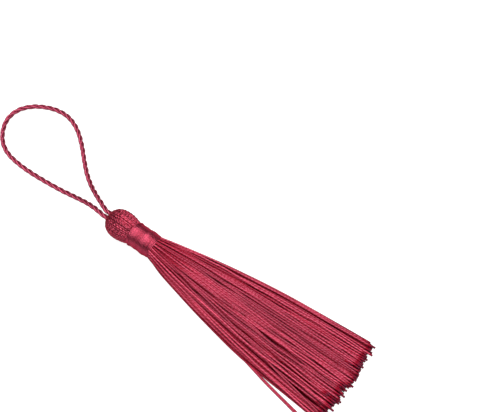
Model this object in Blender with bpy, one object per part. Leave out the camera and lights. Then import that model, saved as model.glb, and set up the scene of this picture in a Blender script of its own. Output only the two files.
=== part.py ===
"""Silk tassel lying on a table: a thread head and skirt, a neck binding and a twisted hanging loop.

Blender 4.5 script. Metres in the scene, +Z up, the table top at z = 0. The tassel lies along X:
the loop is at -X, the cut ends of the skirt at +X. Sizes below are in millimetres, in a frame whose
zero is on the neck's axis, half a millimetre ahead of the head's crown; at the end everything is
shifted so that the origin is at the bottom centre of the head, binding and skirt.
"""

import math

import bpy
import numpy as np
from mathutils import Vector
from mathutils.geometry import delaunay_2d_cdt

MM = 0.001
GAP = 0.3

# Driving dimensions of the head and neck, in millimetres
AXIS_HEIGHT = 6.15
CORE_RADIUS = 4.5
BINDING_START_X = 13.3
BINDING_END_X = 25.3

# The head's outline from the mouth of the cord hole to the neck: place along X, and radius
HEAD_OUTLINE = (
    {"x": 0.95, "radius": 2.75},
    {"x": 0.5, "radius": 3.2},
    {"x": 0.8, "radius": 3.85},
    {"x": 2.0, "radius": 4.95},
    {"x": 3.6, "radius": 5.85},
    {"x": 5.6, "radius": 6.4},
    {"x": 8.2, "radius": 6.5},
    {"x": 10.6, "radius": 6.12},
    {"x": 12.4, "radius": 5.57},
    {"x": 13.0, "radius": 5.1},
)
HEAD_SIDES = 60
RIB_HEIGHT = 0.22
RIB_FULL_RADIUS = 5.0
CORD_HOLE_RADIUS = 2.65
CORD_HOLE_DEPTH = 2.2

# The binding's outline over the neck: turns of fine thread, lumpy at both ends
BINDING_OUTLINE = (
    {"x": 13.3, "radius": 5.2},
    {"x": 14.0, "radius": 5.62},
    {"x": 15.0, "radius": 5.5},
    {"x": 15.9, "radius": 5.38},
    {"x": 17.2, "radius": 5.44},
    {"x": 18.4, "radius": 5.38},
    {"x": 19.8, "radius": 5.5},
    {"x": 21.2, "radius": 5.62},
    {"x": 22.4, "radius": 5.46},
    {"x": 23.6, "radius": 5.4},
    {"x": 24.6, "radius": 5.28},
    {"x": 25.3, "radius": 5.0},
)
BINDING_SIDES = 40
BINDING_BORE = CORE_RADIUS + GAP

# The skirt's cross-section at places along X: where its middle is across, half its width, and
# the heights of its crown, of its widest place and of its underside. Each strand has a ring of
# points at every row; the last row stands for the cut ends.
SKIRT_SECTIONS = (
    {"x": 24.3, "middle": 0.0, "half_width": 4.2, "top": 10.35, "widest": 6.15, "bottom": 1.95},
    {"x": 30.0, "middle": -0.25, "half_width": 6.2, "top": 11.0, "widest": 5.5, "bottom": 0.8},
    {"x": 40.0, "middle": 0.25, "half_width": 9.05, "top": 9.8, "widest": 3.7, "bottom": 0.0},
    {"x": 56.0, "middle": 0.45, "half_width": 12.85, "top": 7.6, "widest": 2.2, "bottom": 0.0},
    {"x": 78.0, "middle": 0.2, "half_width": 16.75, "top": 5.8, "widest": 1.2, "bottom": 0.0},
    {"x": 101.0, "middle": -0.05, "half_width": 18.85, "top": 4.9, "widest": 0.7, "bottom": 0.0},
    {"x": 122.3, "middle": -0.1, "half_width": 20.3, "top": 4.5, "widest": 0.5, "bottom": 0.0},
)

# The strands: the side of their three-sided section and their spacing, at the neck and in the fan
STRANDS = 210
ROOT_SIDE = 0.48
FREE_SIDE = 0.78
ROOT_SPACING = 0.57
FREE_SPACING = 0.84
STRAND_CLEARANCE = 0.03
THINNEST_SIDE = 0.2
UNEVENNESS = 0.05
SEED = 7

# The strands settle against each other in small steps: rounds, and how far each round goes
SETTLE_ROUNDS = 160
PUSH_RATE = 0.42
STRAIGHTEN_RATE = 0.06
EDGE_SHARE = 0.97
REST_REACH = 0.02

# The cut ends: their scatter, the share of them that is cut well short or long, and how far
CUT_SCATTER = 0.8
ODD_SHARE = 0.06
SHORT_CUT = (1.5, 6.0)
LONG_CUT = (0.8, 2.6)

# Two loose strands leave the skirt's edge towards their ends, by these distances
STRAY_START_X = 80.0
STRAY_DRIFT = (4.9, 2.2)
STRAY_CURVE = 1.2

# The hanging loop: a three-ply twisted cord that leaves the head and comes back to it
CORD_RADIUS = 1.1
CORD_VALLEY_RADIUS = 0.66
CORD_PLIES = 3
CORD_LAY = 10.2
CORD_STEP = 0.75
LOOP_ROUTE = (
    (1.9, -1.2, 6.3),
    (0.0, -1.2, 6.3),
    (-3.5, -1.0, 6.2),
    (-7.5, -0.45, 5.65),
    (-12.0, -0.05, 4.4),
    (-18.0, -0.05, 2.6),
    (-23.0, -0.4, 1.55),
    (-28.0, -0.95, 1.15),
    (-35.9, -1.65, 1.1),
    (-43.9, -2.05, 1.1),
    (-50.9, -1.9, 1.1),
    (-57.5, -0.95, 1.1),
    (-62.4, 1.1, 1.1),
    (-66.2, 4.2, 1.1),
    (-69.3, 8.7, 1.1),
    (-70.8, 13.7, 1.1),
    (-70.0, 18.9, 1.1),
    (-66.9, 23.4, 1.1),
    (-62.3, 26.8, 1.1),
    (-56.6, 29.1, 1.1),
    (-50.7, 29.7, 1.1),
    (-45.1, 28.4, 1.1),
    (-39.9, 25.7, 1.1),
    (-34.5, 21.6, 1.1),
    (-28.5, 16.25, 1.15),
    (-23.0, 11.75, 1.55),
    (-17.7, 8.3, 2.6),
    (-12.1, 5.35, 4.4),
    (-7.2, 3.15, 5.65),
    (-3.4, 1.6, 6.2),
    (0.0, 1.2, 6.3),
    (1.9, 1.2, 6.3),
)

COLOUR_HEAD = (0.42, 0.022, 0.055, 1.0)
COLOUR_BINDING = (0.48, 0.026, 0.065, 1.0)
COLOUR_LOOP = (0.36, 0.020, 0.050, 1.0)


def clear_scene():
    """Removes every object that the file opened with."""
    for thing in list(bpy.data.objects):
        bpy.data.objects.remove(thing, do_unlink=True)


def silk_material(name, colour, roughness):
    """A satin thread finish."""
    material = bpy.data.materials.new(name)
    material.use_nodes = True
    shader = material.node_tree.nodes["Principled BSDF"]
    shader.inputs["Base Color"].default_value = colour
    shader.inputs["Roughness"].default_value = roughness
    shader.inputs["Metallic"].default_value = 0.0
    return material


def add_object(name, vertices, faces, material, smooth_angle=40.0):
    """A mesh object from points in millimetres, with the sharp edges kept."""
    mesh = bpy.data.meshes.new(name)
    mesh.from_pydata([Vector(v) * MM for v in vertices], [], faces)
    mesh.validate()
    mesh.shade_smooth()
    mesh.set_sharp_from_angle(angle=math.radians(smooth_angle))
    mesh.materials.append(material)
    thing = bpy.data.objects.new(name, mesh)
    bpy.context.scene.collection.objects.link(thing)
    return thing


def column(rows, name):
    """One named column of a table, as an array."""
    return np.array([row[name] for row in rows], float)


def ring_points(x, radius, sides, rib=0.0):
    """Points round the tassel's axis, every second one raised by a rib."""
    points = []
    for k in range(sides):
        turn = 2.0 * math.pi * k / sides
        reach = radius + (rib if k % 2 == 0 else 0.0)
        points.append((x, reach * math.cos(turn), AXIS_HEIGHT + reach * math.sin(turn)))
    return points


def bridge(first, second, sides):
    """Quads between two rings whose points start at the given indices."""
    faces = []
    for k in range(sides):
        after = (k + 1) % sides
        faces.append((first + k, first + after, second + after, second + k))
    return faces


def pile_heights(section, across):
    """Heights of the skirt's underside and crown at a share of its half width from its middle."""
    share = np.clip(np.abs(across), 0.0, 1.0)
    widest = section["widest"]
    crown = widest + (section["top"] - widest) * np.sqrt(1.0 - share**2)
    # The underside is round where the skirt leaves the neck and flat where it lies on the table
    flatness = 2.0 if section["bottom"] > 0.0 else 4.0
    underside = widest - (widest - section["bottom"]) * (1.0 - share**flatness) ** (1.0 / flatness)
    return underside, crown


def first_places(count, sections):
    """Strand centres at every section, from an even spread over the round neck.

    A column of the round neck becomes the same column of the lying fan, so strands keep their
    order from side to side and from top to bottom.
    """
    index = np.arange(count) + 0.5
    reach = np.sqrt(index / count)
    turn = index * math.pi * (3.0 - math.sqrt(5.0))
    across, up = reach * np.cos(turn), reach * np.sin(turn)
    column_half = np.sqrt(1.0 - across**2)
    share = (up + column_half) / (2.0 * column_half)
    places = np.zeros((len(sections), count, 2))
    for s, section in enumerate(sections):
        underside, crown = pile_heights(section, across)
        places[s, :, 0] = section["middle"] + across * section["half_width"]
        places[s, :, 1] = underside + share * (crown - underside)
    return places


def keep_inside(places, sections, floor_clearance):
    """Holds the strands within the skirt's outline and above the table."""
    for s, section in enumerate(sections):
        middle, half, widest = section["middle"], section["half_width"], section["widest"]
        across = (places[s, :, 0] - middle) / half
        up = places[s, :, 1] - widest
        if section["bottom"] > 0.0:
            reach = np.where(up > 0.0, section["top"] - widest, widest - section["bottom"])
            out = np.maximum(np.hypot(across, up / reach), 1.0)
            across, up = across / out, up / out
        else:
            across = np.clip(across, -1.0, 1.0)
            underside, crown = pile_heights(section, EDGE_SHARE * across)
            up = np.clip(up, underside - widest, crown - widest)
        places[s, :, 0] = middle + half * across
        places[s, :, 1] = np.maximum(widest + up, floor_clearance[s])


def settle_strands(places, sections, spacing, floor_clearance):
    """Pushes strands apart until they lie beside and on each other, and straightens them.

    Pairs are tested at each section and at two places between sections, because the strands run
    straight from one section to the next.
    """
    along = column(sections, "x")
    last = len(sections) - 1
    samples = [(s, k / 3.0) for s in range(last) for k in range(3)] + [(last - 1, 1.0)]
    count = places.shape[1]
    first, second = np.triu_indices(count, 1)
    for step in range(SETTLE_ROUNDS):
        push = np.zeros_like(places)
        for s, share in samples:
            here = (1.0 - share) * places[s] + share * places[s + 1]
            apart = (1.0 - share) * spacing[s] + share * spacing[s + 1]
            offset = here[first] - here[second]
            far = np.sqrt((offset**2).sum(1))
            near = far < apart
            i, j = first[near], second[near]
            way = offset[near] / np.maximum(far[near], 1e-6)[:, None]
            shove = 0.5 * (apart - far[near])[:, None] * way
            moved = np.zeros_like(here)
            np.add.at(moved, i, shove)
            np.add.at(moved, j, -shove)
            push[s] += (1.0 - share) * moved
            push[s + 1] += share * moved
        places += PUSH_RATE * push
        for s in range(1, last):
            share = (along[s] - along[s - 1]) / (along[s + 1] - along[s - 1])
            straight = (1.0 - share) * places[s - 1] + share * places[s + 1]
            places[s] += STRAIGHTEN_RATE * (1.0 - step / SETTLE_ROUNDS) * (straight - places[s])
        keep_inside(places, sections, floor_clearance)
    return places


def hexagon_reach(offset):
    """How far apart two equal triangles, flat side down, are: they meet when this is their side."""
    y, z = np.abs(offset[..., 0]), np.abs(offset[..., 1])
    root3 = math.sqrt(3.0)
    return np.maximum(y + z / root3, 2.0 * z / root3)


def strand_sides(places, wanted):
    """Each strand's side at each section, thinner where a neighbour presses on it."""
    sections, count = places.shape[:2]
    sides = np.repeat(np.asarray(wanted)[:, None], count, axis=1)
    others = ~np.eye(count, dtype=bool)
    for s in range(sections - 1):
        room = np.full(count, np.inf)
        for share in np.linspace(0.0, 1.0, 7):
            here = (1.0 - share) * places[s] + share * places[s + 1]
            reach = hexagon_reach(here[:, None, :] - here[None, :, :])
            room = np.minimum(room, np.where(others, reach, np.inf).min(1))
        room = np.maximum(room - STRAND_CLEARANCE, THINNEST_SIDE)
        sides[s] = np.minimum(sides[s], room)
        sides[s + 1] = np.minimum(sides[s + 1], room)
    return sides


def drift_strays(places, along):
    """Lets the outermost strands on one side leave the skirt towards their ends."""
    low = places[-1, :, 1] < FREE_SPACING
    edge = np.argsort(np.where(low, places[-1, :, 0], np.inf))[: len(STRAY_DRIFT)]
    share = np.clip((along - STRAY_START_X) / (along[-1] - STRAY_START_X), 0.0, None)
    for strand, drift in zip(edge, STRAY_DRIFT):
        places[:, strand, 0] -= drift * share**STRAY_CURVE


def cut_lengths(count, generator):
    """How far past the skirt's end each strand is cut: scattered, a few well short or long."""
    past = generator.normal(0.0, CUT_SCATTER, count)
    short = generator.random(count) < ODD_SHARE
    past[short] -= generator.uniform(*SHORT_CUT, short.sum())
    long = generator.random(count) < ODD_SHARE
    past[long] += generator.uniform(*LONG_CUT, long.sum())
    return np.minimum(past, LONG_CUT[1])


def lay_strands():
    """Every strand's points: an array of sections by strands by (x, y, z), and its sides."""
    along = column(SKIRT_SECTIONS, "x")
    free = len(along) - 2
    sides = np.array([ROOT_SIDE, 0.5 * (ROOT_SIDE + FREE_SIDE)] + [FREE_SIDE] * free)
    spacing = np.array([ROOT_SPACING, 0.5 * (ROOT_SPACING + FREE_SPACING)] + [FREE_SPACING] * free)
    floor_clearance = sides / (2.0 * math.sqrt(3.0))

    generator = np.random.default_rng(SEED)
    places = first_places(STRANDS, SKIRT_SECTIONS)
    places += generator.normal(0.0, UNEVENNESS, places.shape)
    settle_strands(places, SKIRT_SECTIONS, spacing, floor_clearance)
    drift_strays(places, along)
    strand_side = strand_sides(places, sides)

    # Each strand is cut on the line that its last two points give
    past = cut_lengths(STRANDS, generator)
    share = (past / (along[-1] - along[-2]))[:, None]
    places[-1] += share * (places[-1] - places[-2])
    x = np.repeat(along[:, None], STRANDS, axis=1)
    x[-1] += past

    # A strand that lies on the table keeps its flat side on it
    inner = strand_side / (2.0 * math.sqrt(3.0))
    resting = places[..., 1] < floor_clearance[:, None] + REST_REACH
    places[..., 1] = np.where(resting, inner, np.maximum(places[..., 1], inner))
    return np.concatenate([x[..., None], places], axis=2), strand_side


def triangle_ring(centre, side):
    """Three points of a strand's section, flat side down."""
    x, y, z = centre
    inner = side / (2.0 * math.sqrt(3.0))
    return [(x, y - 0.5 * side, z - inner), (x, y + 0.5 * side, z - inner), (x, y, z + 2.0 * inner)]


def turn_head(vertices, faces):
    """Adds the ribbed head with its cord hole, and the neck core; returns the core's last ring."""
    rings = []

    def add_ring(x, radius, rib=0.0):
        rings.append(len(vertices))
        vertices.extend(ring_points(x, radius - 0.5 * rib, HEAD_SIDES, rib))

    add_ring(CORD_HOLE_DEPTH, CORD_HOLE_RADIUS)
    for row in HEAD_OUTLINE:
        add_ring(row["x"], row["radius"], RIB_HEIGHT * min(1.0, row["radius"] / RIB_FULL_RADIUS) ** 3)
    add_ring(BINDING_START_X - 0.5 * GAP, CORE_RADIUS)
    add_ring(SKIRT_SECTIONS[0]["x"], CORE_RADIUS)
    for first, second in zip(rings, rings[1:]):
        faces.extend(bridge(first, second, HEAD_SIDES))

    # The floor of the cord hole
    centre = len(vertices)
    vertices.append((CORD_HOLE_DEPTH, 0.0, AXIS_HEIGHT))
    for k in range(HEAD_SIDES):
        faces.append((rings[0] + (k + 1) % HEAD_SIDES, rings[0] + k, centre))
    return rings[-1]


def grow_strands(vertices, faces):
    """Adds the skirt's strands; returns the first point of each one's root."""
    centres, sides = lay_strands()
    roots = []
    for strand in range(STRANDS):
        rings = []
        for centre, side in zip(centres[:, strand], sides[:, strand]):
            rings.append(len(vertices))
            vertices.extend(triangle_ring(centre, side))
        for first, second in zip(rings, rings[1:]):
            faces.extend(bridge(first, second, 3))
        faces.append((rings[-1], rings[-1] + 1, rings[-1] + 2))
        roots.append(rings[0])
    return roots


def close_neck(vertices, faces, core_ring, roots):
    """Fills the neck's end face round the roots, which fuses every strand to the core."""
    flat, kept, edges = [], [], []
    for start, size in [(core_ring, HEAD_SIDES)] + [(root, 3) for root in roots]:
        base = len(flat)
        for k in range(size):
            kept.append(start + k)
            flat.append(Vector(vertices[start + k][1:]))
            edges.append((base + k, base + (k + 1) % size))
    made, _, triangles, origin, _, _ = delaunay_2d_cdt(flat, edges, [], 1, 1e-6)
    if len(made) != len(flat):
        raise ValueError("two strand roots meet on the neck's end face")
    for triangle in triangles:
        corners = [kept[origin[v][0]] for v in triangle]
        over_root = min(corners) in roots and max(corners) - min(corners) == 2
        if not over_root:
            faces.append(tuple(corners))


def build_head_and_skirt(material):
    """The skein: head, neck core and skirt in one solid, its underside flat on the table."""
    vertices, faces = [], []
    core_ring = turn_head(vertices, faces)
    roots = grow_strands(vertices, faces)
    close_neck(vertices, faces, core_ring, roots)
    vertices = [(x, y, max(z, 0.0)) for x, y, z in vertices]
    return add_object("head_and_skirt", vertices, faces, material)


def build_binding(material):
    """The neck binding: a sleeve of fine thread wound tight over the neck."""
    vertices, faces, rings = [], [], []
    for row in BINDING_OUTLINE:
        rings.append(len(vertices))
        vertices.extend(ring_points(row["x"], row["radius"], BINDING_SIDES))
    for x in (BINDING_END_X, BINDING_START_X):
        rings.append(len(vertices))
        vertices.extend(ring_points(x, BINDING_BORE, BINDING_SIDES))
    for first, second in zip(rings, rings[1:] + rings[:1]):
        faces += bridge(first, second, BINDING_SIDES)
    return add_object("neck_binding", vertices, faces, material)


def smooth_route(points, step):
    """Points a step apart on a smooth curve through the given ones (Catmull-Rom)."""
    p = np.array(points, float)
    p = np.vstack([2 * p[0] - p[1], p, 2 * p[-1] - p[-2]])
    line = []
    for k in range(1, len(p) - 2):
        for t in np.linspace(0.0, 1.0, 12, endpoint=False):
            a = 2 * p[k]
            b = (p[k + 1] - p[k - 1]) * t
            c = (2 * p[k - 1] - 5 * p[k] + 4 * p[k + 1] - p[k + 2]) * t**2
            d = (3 * p[k] - p[k - 1] - 3 * p[k + 1] + p[k + 2]) * t**3
            line.append(0.5 * (a + b + c + d))
    line.append(p[-2])
    line = np.array(line)
    run = np.concatenate([[0.0], np.cumsum(np.linalg.norm(np.diff(line, axis=0), axis=1))])
    at = np.linspace(0.0, run[-1], int(round(run[-1] / step)) + 1)
    return np.stack([np.interp(at, run, line[:, k]) for k in range(3)], axis=1), at


def build_loop(material):
    """The hanging loop: one length of three-ply cord, its ridges turning with the lay."""
    line, run = smooth_route(LOOP_ROUTE, CORD_STEP)
    sides = 2 * CORD_PLIES
    vertices, faces = [], []
    forward = np.gradient(line, axis=0)
    forward /= np.linalg.norm(forward, axis=1)[:, None]
    for point, ahead, distance in zip(line, forward, run):
        up = np.array([0.0, 0.0, 1.0]) - ahead[2] * ahead
        up /= np.linalg.norm(up)
        side = np.cross(up, ahead)
        for k in range(sides):
            turn = 2.0 * math.pi * (distance / CORD_LAY + k / sides)
            reach = CORD_RADIUS if k % 2 == 0 else CORD_VALLEY_RADIUS
            place = point + reach * (math.cos(turn) * side + math.sin(turn) * up)
            place[2] = max(place[2], 0.0)
            vertices.append(tuple(place))
    last = len(line) - 1
    for s in range(last):
        faces += bridge(s * sides, (s + 1) * sides, sides)
    faces.append(tuple(reversed(range(sides))))
    faces.append(tuple(last * sides + k for k in range(sides)))
    return add_object("hanging_loop", vertices, faces, material, 80.0)


def centre_on_base(things, measured):
    """Moves the shapes so that the origin is at the bottom centre of the measured ones."""
    points = np.array([v.co for thing in measured for v in thing.data.vertices])
    low, high = points.min(0), points.max(0)
    shift = Vector((-(low[0] + high[0]) / 2, -(low[1] + high[1]) / 2, -low[2]))
    for thing in things:
        for vertex in thing.data.vertices:
            vertex.co += shift


def main():
    """Builds the three pieces of the tassel."""
    clear_scene()
    bundle = build_head_and_skirt(silk_material("head_and_skirt_silk", COLOUR_HEAD, 0.45))
    binding = build_binding(silk_material("binding_silk", COLOUR_BINDING, 0.3))
    loop = build_loop(silk_material("cord_silk", COLOUR_LOOP, 0.45))
    centre_on_base([bundle, binding, loop], [bundle, binding])


main()
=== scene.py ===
import logging
import math
from collections.abc import Iterable
from dataclasses import dataclass
from enum import Enum

import bpy
import numpy as np
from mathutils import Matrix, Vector


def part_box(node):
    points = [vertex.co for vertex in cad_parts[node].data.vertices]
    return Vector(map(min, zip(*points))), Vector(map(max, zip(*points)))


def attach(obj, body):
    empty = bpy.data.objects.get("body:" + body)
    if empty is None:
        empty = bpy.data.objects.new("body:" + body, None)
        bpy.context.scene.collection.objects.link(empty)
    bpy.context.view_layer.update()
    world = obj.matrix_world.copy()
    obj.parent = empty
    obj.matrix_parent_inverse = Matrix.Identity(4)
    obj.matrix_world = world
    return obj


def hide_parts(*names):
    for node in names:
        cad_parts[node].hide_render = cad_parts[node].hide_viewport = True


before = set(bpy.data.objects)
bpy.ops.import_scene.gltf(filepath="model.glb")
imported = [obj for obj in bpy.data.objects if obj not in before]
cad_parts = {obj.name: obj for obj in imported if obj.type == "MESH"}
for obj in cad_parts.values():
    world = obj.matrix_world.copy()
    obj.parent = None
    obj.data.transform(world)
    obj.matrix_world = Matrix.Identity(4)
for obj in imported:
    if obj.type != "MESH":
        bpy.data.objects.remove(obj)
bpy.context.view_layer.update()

LOG = logging.getLogger("tassel")
MM = 0.001
FULL_TURN = 2.0 * math.pi
Socket = bpy.types.NodeSocket
Point = tuple[float, float, float]
Rows = tuple[tuple[float, float], ...]
Names = dict[str, tuple[str, ...]]

# Names of what a swept thread carries: its UV map in metres along and turns round, its radius,
# its own shade, the painted shade for how deep it lies in the pile (over 1: its cut end, painted
# dark), and the number of its ply
THREAD_UV = "thread_uv"
GIRTH = "girth"
SHADE = "shade"
PILE_SHADE = "pile_shade"
PLY = "ply"


class Twist(Enum):
    """The way a thread's plies turn: Z rises to the right, S to the left."""

    Z = 1.0
    S = -1.0


def catmull_rom(points: np.ndarray, per_span: int) -> np.ndarray:
    """A smooth line through points.

    Args:
        points: The places to pass through, one row each.
        per_span: How many points to give for each stretch between two places.

    Returns:
        The line's points, the first and last being the first and last place.
    """
    ends = [2 * points[:1] - points[1:2], points, 2 * points[-1:] - points[-2:-1]]
    p = np.concatenate(ends)
    t = np.linspace(0.0, 1.0, per_span, endpoint=False).reshape((-1,) + (1,) * (points.ndim - 1))
    spans = []
    for k in range(1, len(p) - 2):
        before, here, after, beyond = p[k - 1], p[k], p[k + 1], p[k + 2]
        linear = (after - before) * t
        square = (2 * before - 5 * here + 4 * after - beyond) * t**2
        cube = (3 * here - before - 3 * after + beyond) * t**3
        spans.append(0.5 * (2 * here + linear + square + cube))
    return np.concatenate(spans + [points[-1:]])


def smooth_table(x: np.ndarray, places: np.ndarray, values: np.ndarray) -> np.ndarray:
    """Values read from a table on a smooth curve through its rows (cubic Hermite).

    Args:
        x: Where to read.
        places: The rows' places, rising.
        values: The rows' values.

    Returns:
        One value for each x; past the ends, the curve goes on straight.
    """
    slope = np.gradient(values, places)
    row = np.clip(np.searchsorted(places, x) - 1, 0, len(places) - 2)
    span = places[row + 1] - places[row]
    t = np.clip((x - places[row]) / span, 0.0, 1.0)
    past = x - np.clip(x, places[0], places[-1])
    h00 = 2 * t**3 - 3 * t**2 + 1
    h10 = t**3 - 2 * t**2 + t
    h11 = t**3 - t**2
    curve = h00 * values[row] + h10 * span * slope[row]
    curve += (1 - h00) * values[row + 1] + h11 * span * slope[row + 1]
    return curve + past * np.where(past < 0, slope[0], slope[-1])


# Node trees


def by_identifier(sockets: Iterable[Socket], identifier: str) -> Socket:
    """The one of a node's sockets that has an identifier, where several share a name."""
    return next(socket for socket in sockets if socket.identifier == identifier)


class Tree:
    """A node tree under construction: adds nodes and links them in one line each."""

    def __init__(self, nodes: bpy.types.NodeTree) -> None:
        """Wraps a node tree."""
        self.nodes = nodes

    def add(self, kind: str, inputs: dict | None = None, **settings: object) -> bpy.types.Node:
        """Adds a node.

        Args:
            kind: The node's type name.
            inputs: A value or a socket to link for each input, by name or number.
            **settings: The node's own properties, set before its inputs.

        Returns:
            The new node.
        """
        node = self.nodes.nodes.new(kind)
        for name, value in settings.items():
            setattr(node, name, value)
        self.fill(node, inputs or {})
        return node

    def fill(self, node: bpy.types.Node, inputs: dict) -> None:
        """Links or sets a node's inputs.

        Args:
            node: The node.
            inputs: A value or a socket to link for each input, by name or number.
        """
        for key, value in inputs.items():
            self.feed(node.inputs[key], value)

    def feed(self, socket: Socket, value: object) -> None:
        """Links a socket to an input, or sets the input's value.

        Args:
            socket: The input.
            value: The socket or the value that it gets.
        """
        if isinstance(value, bpy.types.NodeSocket):
            self.nodes.links.new(value, socket)
        else:
            socket.default_value = value

    def math(self, operation: str, *values: float | Socket, kind: str = "ShaderNodeMath") -> Socket:
        """Adds a Math node.

        Args:
            operation: What it does.
            *values: One to three values or sockets that it takes.
            kind: The node's type name, for a node that works as Math does.

        Returns:
            Its result.
        """
        node = self.add(kind, operation=operation)
        for socket, value in zip(node.inputs, values):
            self.feed(socket, value)
        return node.outputs[0]

    def vector(self, operation: str, *values: Point | Socket) -> Socket:
        """The vector result of a Vector Math node on one to three values."""
        return self.math(operation, *values, kind="ShaderNodeVectorMath")

    def scaled(self, vector: Socket, amount: float | Socket) -> Socket:
        """A vector times a number."""
        values = {"Vector": vector, "Scale": amount}
        return self.add("ShaderNodeVectorMath", values, operation="SCALE").outputs["Vector"]

    def mix(self, share: float | Socket, first: object, second: object) -> Socket:
        """A colour between two colours.

        Args:
            share: How much of the second there is, from 0 to 1.
            first: The first colour.
            second: The second colour.

        Returns:
            The mixed colour.
        """
        node = self.add("ShaderNodeMix", data_type="RGBA")
        for key, value in (("Factor_Float", share), ("A_Color", first), ("B_Color", second)):
            self.feed(by_identifier(node.inputs, key), value)
        return by_identifier(node.outputs, "Result_Color")


def open_group(name: str, kind: str, takes: Names, gives: Names) -> tuple:
    """Makes an empty node group with its sockets.

    Args:
        name: The group's name.
        kind: "ShaderNodeTree" or "GeometryNodeTree".
        takes: The names of its input sockets, by their type.
        gives: The names of its output sockets, by their type.

    Returns:
        The group, a Tree on it, its input node's outputs and its output node's inputs.
    """
    group = bpy.data.node_groups.new(name, kind)
    for way, sockets in (("INPUT", takes), ("OUTPUT", gives)):
        for socket_type, names in sockets.items():
            for each in names:
                group.interface.new_socket(each, in_out=way, socket_type="NodeSocket" + socket_type)
    tree = Tree(group)
    return group, tree, tree.add("NodeGroupInput").outputs, tree.add("NodeGroupOutput").inputs


# Shader groups that every silk finish shares

# Every thread starts its twist at another place, and has its own lay and slack
START_SPREAD = 53.7
LAY_SPREAD = 0.3
SLACK_PER_METRE = 160.0
SLACK_TURNS = 1.2
# A ply's top is a little flatter than a cosine
RIDGE_POWER = 0.7
# The filaments' noise, round the thread and along it, and its step from thread to thread
FILAMENTS_PER_TURN = 14.0
FILAMENTS_PER_METRE = 420.0
FILAMENT_STEP = 37.0
# The dye's patches, how far they change it, and how far the pile's painted shade darkens it
MOTTLE_PER_METRE = 240.0
MOTTLE_SHARE = 0.8
PILE_SHADE_SHARE = 0.92
# The colour of a cut end, where the fibres stand open: partly their own colour, partly painted shade
OPEN_FIBRES_AND_SHADE = (0.10, 0.012, 0.026, 1.0)


def plied_thread_group() -> bpy.types.NodeTree:
    """Plies that wind round a thread, with the fine filaments in them.

    Returns:
        A group that gives the height of the surface, a mask of the grooves and the filaments.
    """
    group, tree, takes, gives = open_group(
        "plied thread",
        "ShaderNodeTree",
        {"Float": ("Lay", "Plies", "Filaments")},
        {"Float": ("Height", "Groove", "Streak")},
    )
    uv = tree.add("ShaderNodeUVMap", uv_map=THREAD_UV).outputs["UV"]
    parts = tree.add("ShaderNodeSeparateXYZ", {"Vector": uv}).outputs
    seed = tree.add("ShaderNodeAttribute", attribute_name=SHADE).outputs["Fac"]
    start = tree.math("MULTIPLY_ADD", seed, START_SPREAD, parts["Y"])
    lay = tree.math("MULTIPLY", takes["Lay"], tree.math("MULTIPLY_ADD", seed, LAY_SPREAD, 1.0))
    along = tree.math("MULTIPLY", parts["X"], SLACK_PER_METRE)
    spot = tree.add("ShaderNodeCombineXYZ", {"X": along, "Y": start})
    slack = tree.add("ShaderNodeTexNoise", {"Vector": spot.outputs[0], "Scale": 1.0, "Detail": 1.0})
    turns = tree.math("DIVIDE", parts["X"], lay)
    turn = tree.math("ADD", start, tree.math("MULTIPLY_ADD", slack.outputs[0], SLACK_TURNS, turns))
    phase = tree.math("MULTIPLY", tree.math("MULTIPLY", turn, takes["Plies"]), FULL_TURN)
    wave = tree.math("MULTIPLY_ADD", tree.math("COSINE", phase), 0.5, 0.5)
    ridge = tree.math("POWER", wave, RIDGE_POWER)
    # Filaments run along the plies: the noise is stretched that way
    across = tree.math("MULTIPLY", turn, FILAMENTS_PER_TURN)
    along = tree.math("MULTIPLY", parts["X"], FILAMENTS_PER_METRE)
    place = tree.add("ShaderNodeCombineXYZ", {"X": across, "Y": along})
    tree.feed(place.inputs["Z"], tree.math("MULTIPLY", seed, FILAMENT_STEP))
    values = {"Vector": place.outputs[0], "Scale": 1.0, "Detail": 2.0}
    streak = tree.add("ShaderNodeTexNoise", values).outputs[0]
    filaments = tree.math("MULTIPLY", streak, takes["Filaments"])
    tree.feed(gives["Height"], tree.math("ADD", ridge, filaments))
    tree.feed(gives["Groove"], tree.math("SUBTRACT", 1.0, ridge))
    tree.feed(gives["Streak"], streak)
    return group


def dyed_thread_group() -> bpy.types.NodeTree:
    """The colour of a thread: uneven dye, with painted shade in its grooves and low in the pile,
    and a cut end painted dark, partly as the open fibres' own colour and partly as shade.

    Returns:
        A group that gives the thread's colour.
    """
    group, tree, takes, gives = open_group(
        "dyed thread",
        "ShaderNodeTree",
        {"Color": ("Dye", "Shade Colour"), "Float": ("Groove", "Streak", "Unevenness")},
        {"Color": ("Color",)},
    )
    shade = tree.add("ShaderNodeAttribute", attribute_name=SHADE).outputs["Fac"]
    pile_shade = tree.add("ShaderNodeAttribute", attribute_name=PILE_SHADE).outputs["Fac"]
    place = tree.add("ShaderNodeTexCoord").outputs["Object"]
    values = {"Vector": place, "Scale": MOTTLE_PER_METRE, "Detail": 3.0}
    mottle = tree.add("ShaderNodeTexNoise", values).outputs[0]
    spread = tree.math("MULTIPLY_ADD", tree.math("SUBTRACT", mottle, 0.5), MOTTLE_SHARE, shade)
    spread = tree.math("ADD", spread, tree.math("SUBTRACT", takes["Streak"], 0.5))
    gain = tree.math("MULTIPLY_ADD", spread, takes["Unevenness"], 1.0)
    # Painted shade: the grooves between plies take the shade colour
    grooved = tree.mix(takes["Groove"], takes["Dye"], takes["Shade Colour"])
    lit = tree.scaled(grooved, gain)
    # Painted shade: threads low in the pile take the shade colour
    sunk = tree.mix(tree.math("MULTIPLY", pile_shade, PILE_SHADE_SHARE), lit, takes["Shade Colour"])
    # A value of over 1 marks the cut end of a thread, where the fibres stand open: it is painted
    # dark, partly as their own colour and partly as painted shade
    end = tree.math("SUBTRACT", tree.math("MAXIMUM", pile_shade, 1.0), 1.0)
    tree.feed(gives["Color"], tree.mix(end, sunk, OPEN_FIBRES_AND_SHADE))
    return group


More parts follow.
